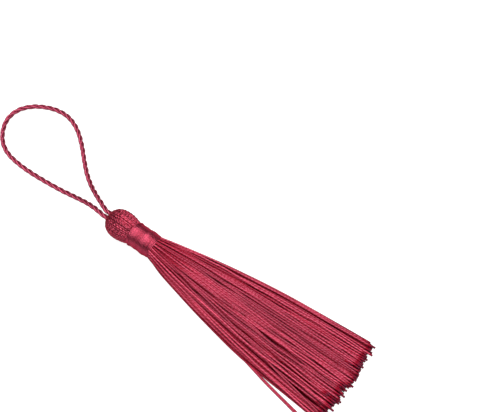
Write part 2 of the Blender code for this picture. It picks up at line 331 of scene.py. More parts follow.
@dataclass(frozen=True)
class SilkFinish:
    """The finish of one kind of silk thread.

    Attributes:
        name: The material's name.
        slot: The record's material slot that it stands for; not used.
        dye: The thread's linear colour.
        shade_colour: Its linear painted shade colour, in the grooves between plies and low in the
            pile.
        roughness: The gloss of the filaments.
        coloured_gloss: How much of the gloss takes the dye's colour (the Metallic value).
        edge_tint: The colour of the gloss where it is seen along the surface.
        plies: How many plies the thread is twisted from.
        lay_mm: The length in which a ply goes once round.
        twist: The way the plies turn.
        relief_mm: How far the plies stand out.
        groove_shade: How far the grooves between them take the painted shade colour, from 0 to 1.
        unevenness: How much the dye varies from thread to thread.
        filaments: How far the filaments stand out, as a share of the relief.
    """

    name: str
    slot: str
    dye: Point
    shade_colour: Point
    roughness: float
    coloured_gloss: float
    edge_tint: Point
    plies: int
    lay_mm: float
    twist: Twist
    relief_mm: float
    groove_shade: float
    unevenness: float
    filaments: float = 0.35

    def material(self, plied: bpy.types.NodeTree, dyed: bpy.types.NodeTree) -> bpy.types.Material:
        """Builds the finish.

        Args:
            plied: The shader group of the thread's twist.
            dyed: The shader group of its colour.

        Returns:
            The material.
        """
        made = bpy.data.materials.new(self.name)
        made.use_nodes = True
        tree = Tree(made.node_tree)
        lay = self.twist.value * self.lay_mm * MM
        values = {"Lay": lay, "Plies": float(self.plies), "Filaments": self.filaments}
        twist = tree.add("ShaderNodeGroup", values, node_tree=plied)
        values = {
            "Dye": (*self.dye, 1.0),
            "Shade Colour": (*self.shade_colour, 1.0),
            "Groove": tree.math("MULTIPLY", twist.outputs["Groove"], self.groove_shade),
            "Streak": twist.outputs["Streak"],
            "Unevenness": self.unevenness,
        }
        colour = tree.add("ShaderNodeGroup", values, node_tree=dyed)
        relief = self.relief_mm * MM
        values = {"Height": twist.outputs["Height"], "Distance": relief, "Strength": 1.0}
        bump = tree.add("ShaderNodeBump", values)
        values = {
            "Base Color": colour.outputs["Color"],
            "Normal": bump.outputs["Normal"],
            "Roughness": self.roughness,
            "Metallic": self.coloured_gloss,
            "Specular Tint": (*self.edge_tint, 1.0),
        }
        tree.fill(made.node_tree.nodes["Principled BSDF"], values)
        return made


SKEIN_SILK = SilkFinish(
    name="skein silk",
    slot="thread",
    dye=(0.335, 0.050, 0.083),
    shade_colour=(0.17, 0.0010, 0.009),
    roughness=0.33,
    coloured_gloss=0.84,
    edge_tint=(0.65, 0.12, 0.22),
    plies=2,
    lay_mm=3.2,
    twist=Twist.Z,
    relief_mm=0.04,
    groove_shade=0.75,
    unevenness=0.55,
)
BINDING_SILK = SilkFinish(
    name="binding silk",
    slot="binding",
    dye=(0.40, 0.058, 0.100),
    shade_colour=(0.20, 0.0015, 0.010),
    roughness=0.30,
    coloured_gloss=0.90,
    edge_tint=(0.65, 0.12, 0.22),
    plies=2,
    lay_mm=1.8,
    twist=Twist.Z,
    relief_mm=0.04,
    groove_shade=0.6,
    unevenness=0.30,
)
CORD_SILK = SilkFinish(
    name="cord silk",
    slot="cord",
    dye=(0.30, 0.046, 0.082),
    shade_colour=(0.09, 0.0010, 0.008),
    roughness=0.34,
    coloured_gloss=0.80,
    edge_tint=(0.65, 0.12, 0.22),
    plies=2,
    lay_mm=1.9,
    twist=Twist.S,
    relief_mm=0.05,
    groove_shade=0.3,
    unevenness=0.14,
)


# Geometry trees

# Points closer than this are one: the seam of a swept thread
SEAM_MM = 0.0005
# How far apart the plies of two threads start, and the scales of a thread's wandering
PLY_START_SPREAD = 61.3
FOLD_WANDER_PER_METRE = 330.0
LAP_WANDER_ALONG = 40.0
LAP_WANDER_ROUND = 0.8
# The cord's ply that has the plain dye, as a share of their number: the others differ from it
PLAIN_PLY_SHARE = 0.33
# Edges sharper than this stay sharp: the rims of the cut ends
CREASE_ANGLE = math.radians(60.0)


def open_thread_tree(
    name: str, counts: tuple[str, ...] = (), sizes: tuple[str, ...] = ()
) -> tuple:
    """Makes an empty geometry tree that takes a mesh and gives threads of one material.

    Args:
        name: The tree's name.
        counts: The names of its whole numbers, beside the number of a thread's sides.
        sizes: The names of its other numbers.

    Returns:
        What open_group gives.
    """
    gives = {"Geometry": ("Geometry",)}
    takes = {**gives, "Int": (*counts, "Sides"), "Float": sizes, "Material": ("Material",)}
    return open_group(name, "GeometryNodeTree", takes, gives)


def sweep_thread(tree: Tree, curve: Socket, girth: Socket, takes: dict) -> Socket:
    """Adds the nodes that turn curves into closed round threads with their UV map.

    The section is an arc that goes all the way round, so that the UV map has a clean seam, and
    the seam is then merged.

    Args:
        tree: The geometry tree to add to.
        curve: The curves' geometry.
        girth: The thread's radius along them.
        takes: The tree's own inputs, with the number of sides and the material.

    Returns:
        The finished mesh, its instances realized and its material set.
    """
    along = tree.add("GeometryNodeCaptureAttribute", {"Geometry": curve})
    along.capture_items.new("FLOAT", "Length")
    tree.feed(along.inputs["Length"], tree.add("GeometryNodeSplineParameter").outputs["Length"])
    arc = tree.add(
        "GeometryNodeCurveArc",
        {
            "Resolution": tree.math("ADD", takes["Sides"], 1.0),
            "Radius": 1.0,
            "Sweep Angle": FULL_TURN,
        },
        mode="RADIUS",
    )
    around = tree.add("GeometryNodeCaptureAttribute", {"Geometry": arc.outputs["Curve"]})
    around.capture_items.new("FLOAT", "Factor")
    tree.feed(around.inputs["Factor"], tree.add("GeometryNodeSplineParameter").outputs["Factor"])
    swept = tree.add(
        "GeometryNodeCurveToMesh",
        {
            "Curve": along.outputs["Geometry"],
            "Profile Curve": around.outputs["Geometry"],
            "Scale": girth,
        },
    )
    values = {"X": along.outputs["Length"], "Y": around.outputs["Factor"]}
    uv = tree.add("ShaderNodeCombineXYZ", values)
    stored = tree.add(
        "GeometryNodeStoreNamedAttribute",
        {"Geometry": swept.outputs["Mesh"], "Name": THREAD_UV},
        data_type="FLOAT2",
        domain="CORNER",
    )
    tree.feed(stored.inputs["Value"], uv.outputs["Vector"])
    merged = tree.add(
        "GeometryNodeMergeByDistance",
        {"Geometry": stored.outputs["Geometry"], "Distance": SEAM_MM * MM},
    )
    real = tree.add("GeometryNodeRealizeInstances", {"Geometry": merged.outputs["Geometry"]})
    values = {"Geometry": real.outputs["Geometry"], "Material": takes["Material"]}
    return tree.add("GeometryNodeSetMaterial", values).outputs["Geometry"]


def named_value(tree: Tree, name: str) -> Socket:
    """The number that the geometry carries under a name."""
    node = tree.add("GeometryNodeInputNamedAttribute", {"Name": name}, data_type="FLOAT")
    return node.outputs["Attribute"]


def stored_value(
    tree: Tree, geometry: Socket, name: str, value: float | Socket, domain: str
) -> Socket:
    """Adds the node that keeps a number under a name.

    Args:
        tree: The geometry tree to add to.
        geometry: What carries it.
        name: The name.
        value: The number.
        domain: What has one each: "POINT", "CURVE" or "INSTANCE".

    Returns:
        The geometry with the number.
    """
    node = tree.add(
        "GeometryNodeStoreNamedAttribute",
        {"Geometry": geometry, "Name": name},
        data_type="FLOAT",
        domain=domain,
    )
    tree.feed(node.inputs["Value"], value)
    return node.outputs["Geometry"]


def twist_plies(tree: Tree, line: Socket, plies: Socket, lay: Socket, reach: Socket) -> Socket:
    """Adds the nodes that make several plies of every line and wind them round it.

    Args:
        tree: The geometry tree to add to.
        line: The lines' geometry, with a shade for each, from which its turn starts.
        plies: How many plies to make.
        lay: The length in which a ply goes once round.
        reach: How far a ply's middle is from the line.

    Returns:
        The plies' curves, each with its number.
    """
    copies = tree.add(
        "GeometryNodeDuplicateElements",
        {"Geometry": line, "Amount": plies},
        domain="SPLINE",
    )
    number = copies.outputs["Duplicate Index"]
    numbered = stored_value(tree, copies.outputs["Geometry"], PLY, number, "CURVE")
    share = tree.math("DIVIDE", named_value(tree, PLY), plies)
    share = tree.math("MULTIPLY_ADD", named_value(tree, SHADE), PLY_START_SPREAD, share)
    run = tree.add("GeometryNodeSplineParameter").outputs["Length"]
    turns = tree.math("ADD", tree.math("DIVIDE", run, lay), share)
    angle = tree.math("MULTIPLY", turns, FULL_TURN)
    normal = tree.add("GeometryNodeInputNormal").outputs["Normal"]
    tangent = tree.add("GeometryNodeInputTangent").outputs["Tangent"]
    side = tree.vector("CROSS_PRODUCT", tangent, normal)
    out = tree.scaled(normal, tree.math("COSINE", angle))
    out = tree.vector("ADD", out, tree.scaled(side, tree.math("SINE", angle)))
    offset = tree.scaled(out, reach)
    wound = tree.add("GeometryNodeSetPosition", {"Geometry": numbered, "Offset": offset})
    return wound.outputs["Geometry"]


def laid_threads_tree() -> bpy.types.NodeTree:
    """Sweeps threads along the edges of a wire mesh that carries their girth.

    Returns:
        The geometry tree.
    """
    group, tree, takes, gives = open_thread_tree("laid threads")
    curves = tree.add("GeometryNodeMeshToCurve", {"Mesh": takes["Geometry"]}).outputs["Curve"]
    tree.feed(gives["Geometry"], sweep_thread(tree, curves, named_value(tree, GIRTH), takes))
    return group


def folded_threads_tree() -> bpy.types.NodeTree:
    """Sets copies of one folded thread round the tassel's axis, each a little off its place.

    Returns:
        The geometry tree.
    """
    spreads = ("Turn Jitter", "Lift Jitter", "Wander")
    sizes = ("Ply Centre Share", "Ply Girth Share", "Lay", "Step")
    group, tree, takes, gives = open_thread_tree(
        "folded threads", ("Count", "Seed", "Plies"), spreads + sizes
    )
    centres = tree.add("GeometryNodeMeshLine", {"Count": takes["Count"], "Offset": (0.0, 0.0, 0.0)})
    index = tree.add("GeometryNodeInputIndex").outputs[0]
    step = tree.math("DIVIDE", FULL_TURN, takes["Count"])
    jitter = random_value(tree, -0.5, 0.5, takes["Seed"])
    turn = tree.math("MULTIPLY_ADD", jitter, takes["Turn Jitter"], index)
    rotation = tree.add("ShaderNodeCombineXYZ", {"X": tree.math("MULTIPLY", turn, step)})
    lift = random_value(tree, -1.0, 1.0, tree.math("ADD", takes["Seed"], 1.0))
    scale = tree.math("MULTIPLY_ADD", lift, takes["Lift Jitter"], 1.0)
    size = tree.add("ShaderNodeCombineXYZ", {"X": 1.0, "Y": scale, "Z": scale})
    curve = tree.add("GeometryNodeMeshToCurve", {"Mesh": takes["Geometry"]}).outputs["Curve"]
    placed = tree.add(
        "GeometryNodeInstanceOnPoints",
        {
            "Points": centres.outputs["Mesh"],
            "Instance": curve,
            "Rotation": rotation.outputs["Vector"],
            "Scale": size.outputs["Vector"],
        },
    )
    shade = random_value(tree, -0.5, 0.5, tree.math("ADD", takes["Seed"], 2.0))
    shaded = stored_value(tree, placed.outputs["Instances"], SHADE, shade, "INSTANCE")
    real = tree.add("GeometryNodeRealizeInstances", {"Geometry": shaded}).outputs["Geometry"]
    # Each thread wanders a little from its straight course over the head
    place = tree.add("GeometryNodeInputPosition").outputs[0]
    values = {"Vector": place, "Scale": FOLD_WANDER_PER_METRE, "Detail": 1.0}
    wander = tree.add("ShaderNodeTexNoise", values)
    offset = tree.vector("SUBTRACT", wander.outputs["Color"], (0.5, 0.5, 0.5))
    offset = tree.scaled(offset, takes["Wander"])
    moved = tree.add("GeometryNodeSetPosition", {"Geometry": real, "Offset": offset})
    even = tree.add(
        "GeometryNodeResampleCurve",
        {"Curve": moved.outputs["Geometry"], "Length": takes["Step"]},
        mode="LENGTH",
    )
    girth = named_value(tree, GIRTH)
    reach = tree.math("MULTIPLY", girth, takes["Ply Centre Share"])
    plies = twist_plies(tree, even.outputs["Curve"], takes["Plies"], takes["Lay"], reach)
    ply_girth = tree.math("MULTIPLY", girth, takes["Ply Girth Share"])
    tree.feed(gives["Geometry"], sweep_thread(tree, plies, ply_girth, takes))
    return group


def random_value(tree: Tree, low: float, high: float, seed: int | Socket) -> Socket:
    """Adds a random number for each point, the same on every run.

    Args:
        tree: The geometry tree to add to.
        low: The lowest that it can be.
        high: The highest.
        seed: Which row of random numbers it is.

    Returns:
        The number.
    """
    node = tree.add("FunctionNodeRandomValue", data_type="FLOAT")
    limits = {"Min_001": low, "Max_001": high, "Seed": seed}
    for key, value in limits.items():
        tree.feed(by_identifier(node.inputs, key), value)
    return by_identifier(node.outputs, "Value_001")


def wound_thread_tree(outline: Rows) -> bpy.types.NodeTree:
    """Winds one fine thread round the neck in touching turns.

    Args:
        outline: The winding's radius along the neck, each as shares of its length and of its
            largest radius.

    Returns:
        The geometry tree.
    """
    group, tree, takes, gives = open_thread_tree(
        "wound thread",
        ("Points per Turn",),
        ("Turns", "Radius", "Length", "Thread Girth", "Wander"),
    )
    spiral = tree.add(
        "GeometryNodeCurveSpiral",
        {
            "Resolution": takes["Points per Turn"],
            "Rotations": takes["Turns"],
            "Start Radius": 1.0,
            "End Radius": 1.0,
            "Height": 1.0,
        },
    )
    position = tree.add("GeometryNodeInputPosition").outputs[0]
    place = tree.add("ShaderNodeSeparateXYZ", {"Vector": position})
    share = place.outputs["Z"]
    # Neighbouring turns ride over each other here and there
    rough = tree.add(
        "ShaderNodeCombineXYZ",
        {
            "X": place.outputs["X"],
            "Y": place.outputs["Y"],
            "Z": tree.math("MULTIPLY", share, LAP_WANDER_ALONG),
        },
    )
    values = {"Vector": rough.outputs[0], "Scale": LAP_WANDER_ROUND, "Detail": 1.0}
    noise = tree.add("ShaderNodeTexNoise", values)
    off = tree.vector("SUBTRACT", noise.outputs["Color"], (0.5, 0.5, 0.5))
    off = tree.add("ShaderNodeSeparateXYZ", {"Vector": tree.scaled(off, takes["Wander"])}).outputs
    profile = tree.add("ShaderNodeFloatCurve", {"Value": share})
    points = profile.mapping.curves[0].points
    for place_share, radius_share in outline[1:-1]:
        points.new(place_share, radius_share)
    points[0].location = outline[0]
    points[-1].location = outline[-1]
    profile.mapping.update()
    reach = tree.math("MULTIPLY_ADD", profile.outputs["Value"], takes["Radius"], off["X"])
    length = tree.math("MULTIPLY_ADD", share, takes["Length"], off["Y"])
    course = tree.add(
        "ShaderNodeCombineXYZ",
        {
            "X": length,
            "Y": tree.math("MULTIPLY", place.outputs["X"], reach),
            "Z": tree.math("MULTIPLY", place.outputs["Y"], reach),
        },
    )
    wound = tree.add(
        "GeometryNodeSetPosition",
        {"Geometry": spiral.outputs["Curve"], "Position": course.outputs["Vector"]},
    )
    turn = tree.math("FLOOR", tree.math("MULTIPLY", share, takes["Turns"]))
    tone = tree.add("ShaderNodeTexWhiteNoise", {"W": turn}, noise_dimensions="1D").outputs["Value"]
    tone = tree.math("SUBTRACT", tone, 0.5)
    shaded = stored_value(tree, wound.outputs["Geometry"], SHADE, tone, "POINT")
    tree.feed(gives["Geometry"], sweep_thread(tree, shaded, takes["Thread Girth"], takes))
    return group


def laid_cord_tree() -> bpy.types.NodeTree:
    """Twists plies round a wire mesh that gives the cord's centreline.

    Returns:
        The geometry tree.
    """
    sizes = ("Lay", "Ply Centre Radius", "Ply Girth", "Step")
    group, tree, takes, gives = open_thread_tree("laid cord", ("Plies",), sizes)
    line = tree.add("GeometryNodeMeshToCurve", {"Mesh": takes["Geometry"]}).outputs["Curve"]
    values = {"Curve": line, "Length": takes["Step"]}
    even = tree.add("GeometryNodeResampleCurve", values, mode="LENGTH")
    reach = takes["Ply Centre Radius"]
    plies = twist_plies(tree, even.outputs["Curve"], takes["Plies"], takes["Lay"], reach)
    # The plies differ a little in shade
    number = tree.math("DIVIDE", named_value(tree, PLY), takes["Plies"])
    tone = tree.math("SUBTRACT", number, PLAIN_PLY_SHARE)
    shaded = stored_value(tree, plies, SHADE, tone, "CURVE")
    tree.feed(gives["Geometry"], sweep_thread(tree, shaded, takes["Ply Girth"], takes))
    return group


def linked(name: str, data: bpy.types.ID) -> bpy.types.Object:
    """A new object with its data, linked to the scene."""
    made = bpy.data.objects.new(name, data)
    bpy.context.scene.collection.objects.link(made)
    return made


def wire_mesh(
    name: str, lines: list[np.ndarray], numbers: dict[str, np.ndarray]
) -> bpy.types.Object:
    """A mesh of open lines for a geometry tree to work on.

    Args:
        name: The object's name.
        lines: Each line's points, in metres in the row's frame.
        numbers: Values for every point, in order, by name.

    Returns:
        The object, linked to the scene.
    """
    mesh = bpy.data.meshes.new(name)
    edges, start = [], 0
    for line in lines:
        edges += [(start + k, start + k + 1) for k in range(len(line) - 1)]
        start += len(line)
    points = np.concatenate(lines)
    mesh.from_pydata([Vector(p) for p in points], edges, [])
    for key, values in numbers.items():
        carried = mesh.attributes.new(key, "FLOAT", "POINT").data
        carried.foreach_set("value", values.astype(np.float32))
    return linked(name, mesh)


def grow(thing: bpy.types.Object, group: bpy.types.NodeTree, values: dict[str, object]) -> None:
    """Runs a geometry tree on an object and keeps the result as its plain mesh.

    Args:
        thing: The object whose mesh the tree starts from.
        group: The geometry tree.
        values: The tree's inputs, by name.
    """
    modifier = thing.modifiers.new(group.name, "NODES")
    modifier.node_group = group
    for item in group.interface.items_tree:
        if item.item_type == "SOCKET" and item.in_out == "INPUT" and item.name in values:
            modifier[item.identifier] = values[item.name]
    thing.update_tag()
    graph = bpy.context.evaluated_depsgraph_get()
    mesh = bpy.data.meshes.new_from_object(
        thing.evaluated_get(graph), preserve_all_data_layers=True, depsgraph=graph
    )
    thing.modifiers.remove(modifier)
    thing.data = mesh
    mesh.name = thing.name
    mesh.shade_smooth()
    mesh.set_sharp_from_angle(angle=CREASE_ANGLE)
    face_outwards(mesh)


def face_outwards(mesh: bpy.types.Mesh) -> None:
    """Turns a closed mesh's faces round if it encloses a negative volume.

    Args:
        mesh: The mesh.
    """
    mesh.calc_loop_triangles()
    points = np.empty(3 * len(mesh.vertices))
    mesh.vertices.foreach_get("co", points)
    corners = np.empty(3 * len(mesh.loop_triangles), int)
    mesh.loop_triangles.foreach_get("vertices", corners)
    a, b, c = points.reshape(-1, 3)[corners].reshape(-1, 3, 3).transpose(1, 0, 2)
    if np.einsum("ij,ij->i", a, np.cross(b, c)).sum() < 0.0:
        mesh.flip_normals()


# The tassel's own frame

# How high the neck's axis is over the table, and how far the zero is ahead of the solid's crown
AXIS_HEIGHT_MM = 6.15
CROWN_SETBACK_MM = 0.5


@dataclass(frozen=True)
class TasselFrame:
    """Where the tassel lies: sizes below are in millimetres from a zero at the crown of its head.

    Attributes:
        crown_x: The zero's place along the row's X, in metres, a little ahead of the crown.
        axis_y: The neck's axis along the row's Y, in metres.
    """

    crown_x: float
    axis_y: float

    @classmethod
    def from_solids(cls) -> "TasselFrame":
        """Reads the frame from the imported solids.

        Returns:
            The frame.
        """
        low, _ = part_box("head_and_skirt")
        left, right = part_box("neck_binding")
        return cls(crown_x=low[0] - CROWN_SETBACK_MM * MM, axis_y=(left[1] + right[1]) / 2)

    def to_row(self, points: np.ndarray) -> np.ndarray:
        """Points in millimetres in the tassel's frame, as metres in the row's frame."""
        return np.asarray(points, float) * MM + np.array([self.crown_x, self.axis_y, 0.0])

    def set_on_axis(self, thing: bpy.types.Object, x_mm: float) -> None:
        """Moves a mesh that was made round its own zero to its place on the neck's axis.

        Args:
            thing: The object that has the mesh.
            x_mm: Where along the axis its zero goes.
        """
        offset = Vector((self.crown_x + x_mm * MM, self.axis_y, AXIS_HEIGHT_MM * MM))
        for vertex in thing.data.vertices:
            vertex.co += offset


def dress(thing: bpy.types.Object, node: str) -> None:
    """Hides the solid that a finished piece replaces and puts the piece on the root body.

    Args:
        thing: The piece.
        node: The solid that it replaces.
    """
    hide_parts(node)
    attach(thing, "root")


# The skirt

# A thread doesn't push itself apart, and two on one spot aren't divided by nothing
FAR_MM = 1e3
LEAST_MM = 1e-6
# The value that marks a thread's cut end, to be painted dark, where the painted shade of a
# thread low in the pile is 1
CUT_END_SHADE = 2.0
# How far a thread's course is drawn on before its cut, how far from the cut the last point
# before it is, the end's rings as places past the cut and shares of the radius, and the root's cap
END_SPARE_MM = 4.0
END_CLEAR_MM = 0.3
END_RINGS = ((-0.12, 1.0), (0.0, 0.86), (0.01, 0.0))
ROOT_CAP_MM = 0.01


def along_skirt(x: np.ndarray, rows: Rows) -> np.ndarray:
    """Values on straight lines between rows of place and value, as a column."""
    return np.interp(x, *zip(*rows))[:, None]


@dataclass(frozen=True)
class Pile:
    """How the skirt's threads spread over its cross-section and settle on each other.

    Heights are shares of the skirt's own, from 0 underneath to 1 on top. Drifts are shares of
    its half width.

    Attributes:
        low: The height under which threads keep their places.
        high: The height from which some lie across the others.
        crossing_share: How many of those do.
        low_drift: How far a low thread drifts.
        drift: How far any other does.
        crossing_drift: How far one does that lies across the others.
        crossing_lift_mm: How far that one is lifted over them.
        lift_rate: How soon it is, as one over a share of the skirt's length.
        lock_count: How many locks the threads gather in.
        gather: How far they do.
        gather_span: The part of half a wave, along the skirt, in which they do.
        edge: How far out a thread may be.
        headroom_mm: How far up it may be pushed.
        rounds: How often the threads are pushed apart.
        push: How far each time, as a share of the overlap.
        straightening: How far each thread is then straightened.
    """

    low: float = 0.35
    high: float = 0.7
    crossing_share: float = 0.45
    low_drift: float = 0.01
    drift: float = 0.05
    crossing_drift: float = 0.20
    crossing_lift_mm: float = 0.7
    lift_rate: float = 8.0
    lock_count: int = 26
    gather: float = 0.11
    gather_span: tuple[float, float] = (0.15, 0.8)
    edge: float = 0.99
    headroom_mm: float = 0.25
    rounds: int = 24
    push: float = 0.25
    straightening: float = 0.3


@dataclass(frozen=True)
class PileShade:
    """Painted shade for how deep a thread counts as lying, from 0 on top to 1, darkening it.

    Attributes:
        darkest: The painted shade far down in the pile.
        skin_mm: How far under the crown it starts.
        full_mm: How far below that it is full, at places along the skirt.
        rim: The painted shade added at the skirt's two edges.
        neck_upper: What is left of it in the threads that show round the neck.
        neck_every_other: The least painted shade of every other one of those.
        bed: The painted shade of the threads at the bottom.
        loose_share: What is left of it in the loose threads.
        fibres_mm: How far from a cut end the fibres stand open and are painted dark, partly as
            shade.
        fibres_fade_mm: Over what length that ends.
    """

    darkest: float = 0.78
    skin_mm: float = 0.3
    full_mm: Rows = ((24.0, 0.7), (70.0, 1.0), (122.0, 2.2))
    rim: float = 0.4
    neck_upper: Rows = ((24.0, 0.3), (50.0, 1.0))
    neck_every_other: Rows = ((24.0, 0.7), (50.0, 0.0))
    bed: float = 0.8
    loose_share: float = 0.3
    fibres_mm: float = 0.8
    fibres_fade_mm: float = 0.25

    def with_cut(self, line: np.ndarray) -> np.ndarray:
        """A thread's painted shade, with its cut end marked to be painted dark.

        Args:
            line: Rows of x, y, z, radius and painted shade.

        Returns:
            The painted shade of each row, over 1 near the cut.
        """
        left = np.linalg.norm(line[-1, :3] - line[:, :3], axis=1)
        marked = CUT_END_SHADE + (self.fibres_mm - left) / self.fibres_fade_mm
        return np.clip(np.maximum(line[:, 4], marked), 0.0, CUT_END_SHADE)


@dataclass(frozen=True)
class CutLine:
    """The ragged line of the cut ends, in millimetres past the skirt's last section.

    Attributes:
        lead: Where its middle is.
        bow: How far it falls back at the skirt's two edges.
        clump_count: How many clumps of threads are cut together.
        clump_spread: How far a clump is off the line.
        thread_spread: How far a thread is off its clump.
        short: Up to which random number a thread is cut short, and the limits of by how much.
        long: From which random number it is cut long, and the limits of by how much.
        furthest: Where the longest end is.
    """

    lead: float = 0.4
    bow: float = 2.4
    clump_count: int = 17
    clump_spread: float = 0.7
    thread_spread: float = 0.45
    short: Point = (0.10, 1.0, 5.0)
    long: Point = (0.94, 0.6, 2.2)
    furthest: float = 2.5

    def places(self, rng: np.random.Generator, share: np.ndarray, last: float) -> np.ndarray:
        """Where each thread is cut.

        Args:
            rng: The random numbers.
            share: Each thread's place over the skirt's half width.
            last: The place of the skirt's last section.

        Returns:
            The place of each cut, a few well short or long of the line.
        """
        clumps = rng.normal(0.0, self.clump_spread, self.clump_count)
        clumps = np.interp(share, np.linspace(-1.0, 1.0, self.clump_count), clumps)
        single = rng.normal(0.0, self.thread_spread, len(share))
        cut = last + self.lead - self.bow * share**4 + clumps + single
        odd = rng.random(len(share))
        short, long = odd < self.short[0], odd > self.long[0]
        cut[short] -= rng.uniform(*self.short[1:], short.sum())
        cut[long] += rng.uniform(*self.long[1:], long.sum())
        return np.minimum(cut, last + self.furthest)

    def end(self, line: np.ndarray, x: float) -> np.ndarray:
        """Ends a thread at its cut, with a closed flat end there and at its root.

        Args:
            line: Rows of x, y, z, radius and painted shade.
            x: Where along the skirt it is cut.

        Returns:
            The rows up to the cut.
        """
        ahead = (line[-1] - line[-2]) / (line[-1, 0] - line[-2, 0])
        whole = np.concatenate([line, (line[-1] + END_SPARE_MM * ahead)[None]])
        whole[-1, 2:] = line[-1, 2:]
        end = np.array([np.interp(x, whole[:, 0], whole[:, k]) for k in range(whole.shape[1])])
        kept = whole[whole[:, 0] < x - END_CLEAR_MM]
        way = (end - kept[-1])[:3] / np.linalg.norm((end - kept[-1])[:3])
        tip = np.stack([end] * len(END_RINGS))
        along, wide = np.array(END_RINGS).T
        tip[:, :3] += along[:, None] * way
        tip[:, 3] *= wide
        root = kept[:1].copy()
        root[0, 0] -= ROOT_CAP_MM
        root[0, 3] = 0.0
        return np.concatenate([root, kept, tip])


@dataclass(frozen=True)
class Waver:
    """A thread's own slight waves.

    Attributes:
        grown_mm: How far from the neck they are full.
        sideways_mm: The size of the longest wave sideways.
        upright_mm: Its size up and down.
        lengths_mm: The waves' lengths, the longest last.
        length_limits: How much shorter or longer a thread's own wave may be.
        edge_share: What is left of the waves at the skirt's edges.
    """

    grown_mm: float = 20.0
    sideways_mm: float = 0.13
    upright_mm: float = 0.06
    lengths_mm: Point = (13.0, 24.0, 43.0)
    length_limits: tuple[float, float] = (0.8, 1.25)
    edge_share: float = 0.25

    def bend(self, rng: np.random.Generator, line: np.ndarray, share: float) -> np.ndarray:
        """A thread's course with its waves, never below the table.

        Args:
            rng: The random numbers.
            line: Rows of x, y, z, radius and painted shade.
            share: The thread's place over the skirt's half width.

        Returns:
            The rows with other places.
        """
        amount = self.edge_share + (1.0 - self.edge_share) * (1.0 - share**4)
        run = line[:, 0] - line[0, 0]
        grown = np.clip(run / self.grown_mm, 0.0, 1.0)
        out = line.copy()
        for axis, size in ((1, self.sideways_mm), (2, self.upright_mm)):
            for wave in self.lengths_mm:
                phase = rng.uniform(0.0, FULL_TURN)
                length = wave * rng.uniform(*self.length_limits)
                swing = amount * size * rng.normal() * (wave / self.lengths_mm[-1])
                out[:, axis] += grown * swing * np.sin(FULL_TURN * run / length + phase)
        out[:, 2] = np.maximum(out[:, 2], out[:, 3])
        return out


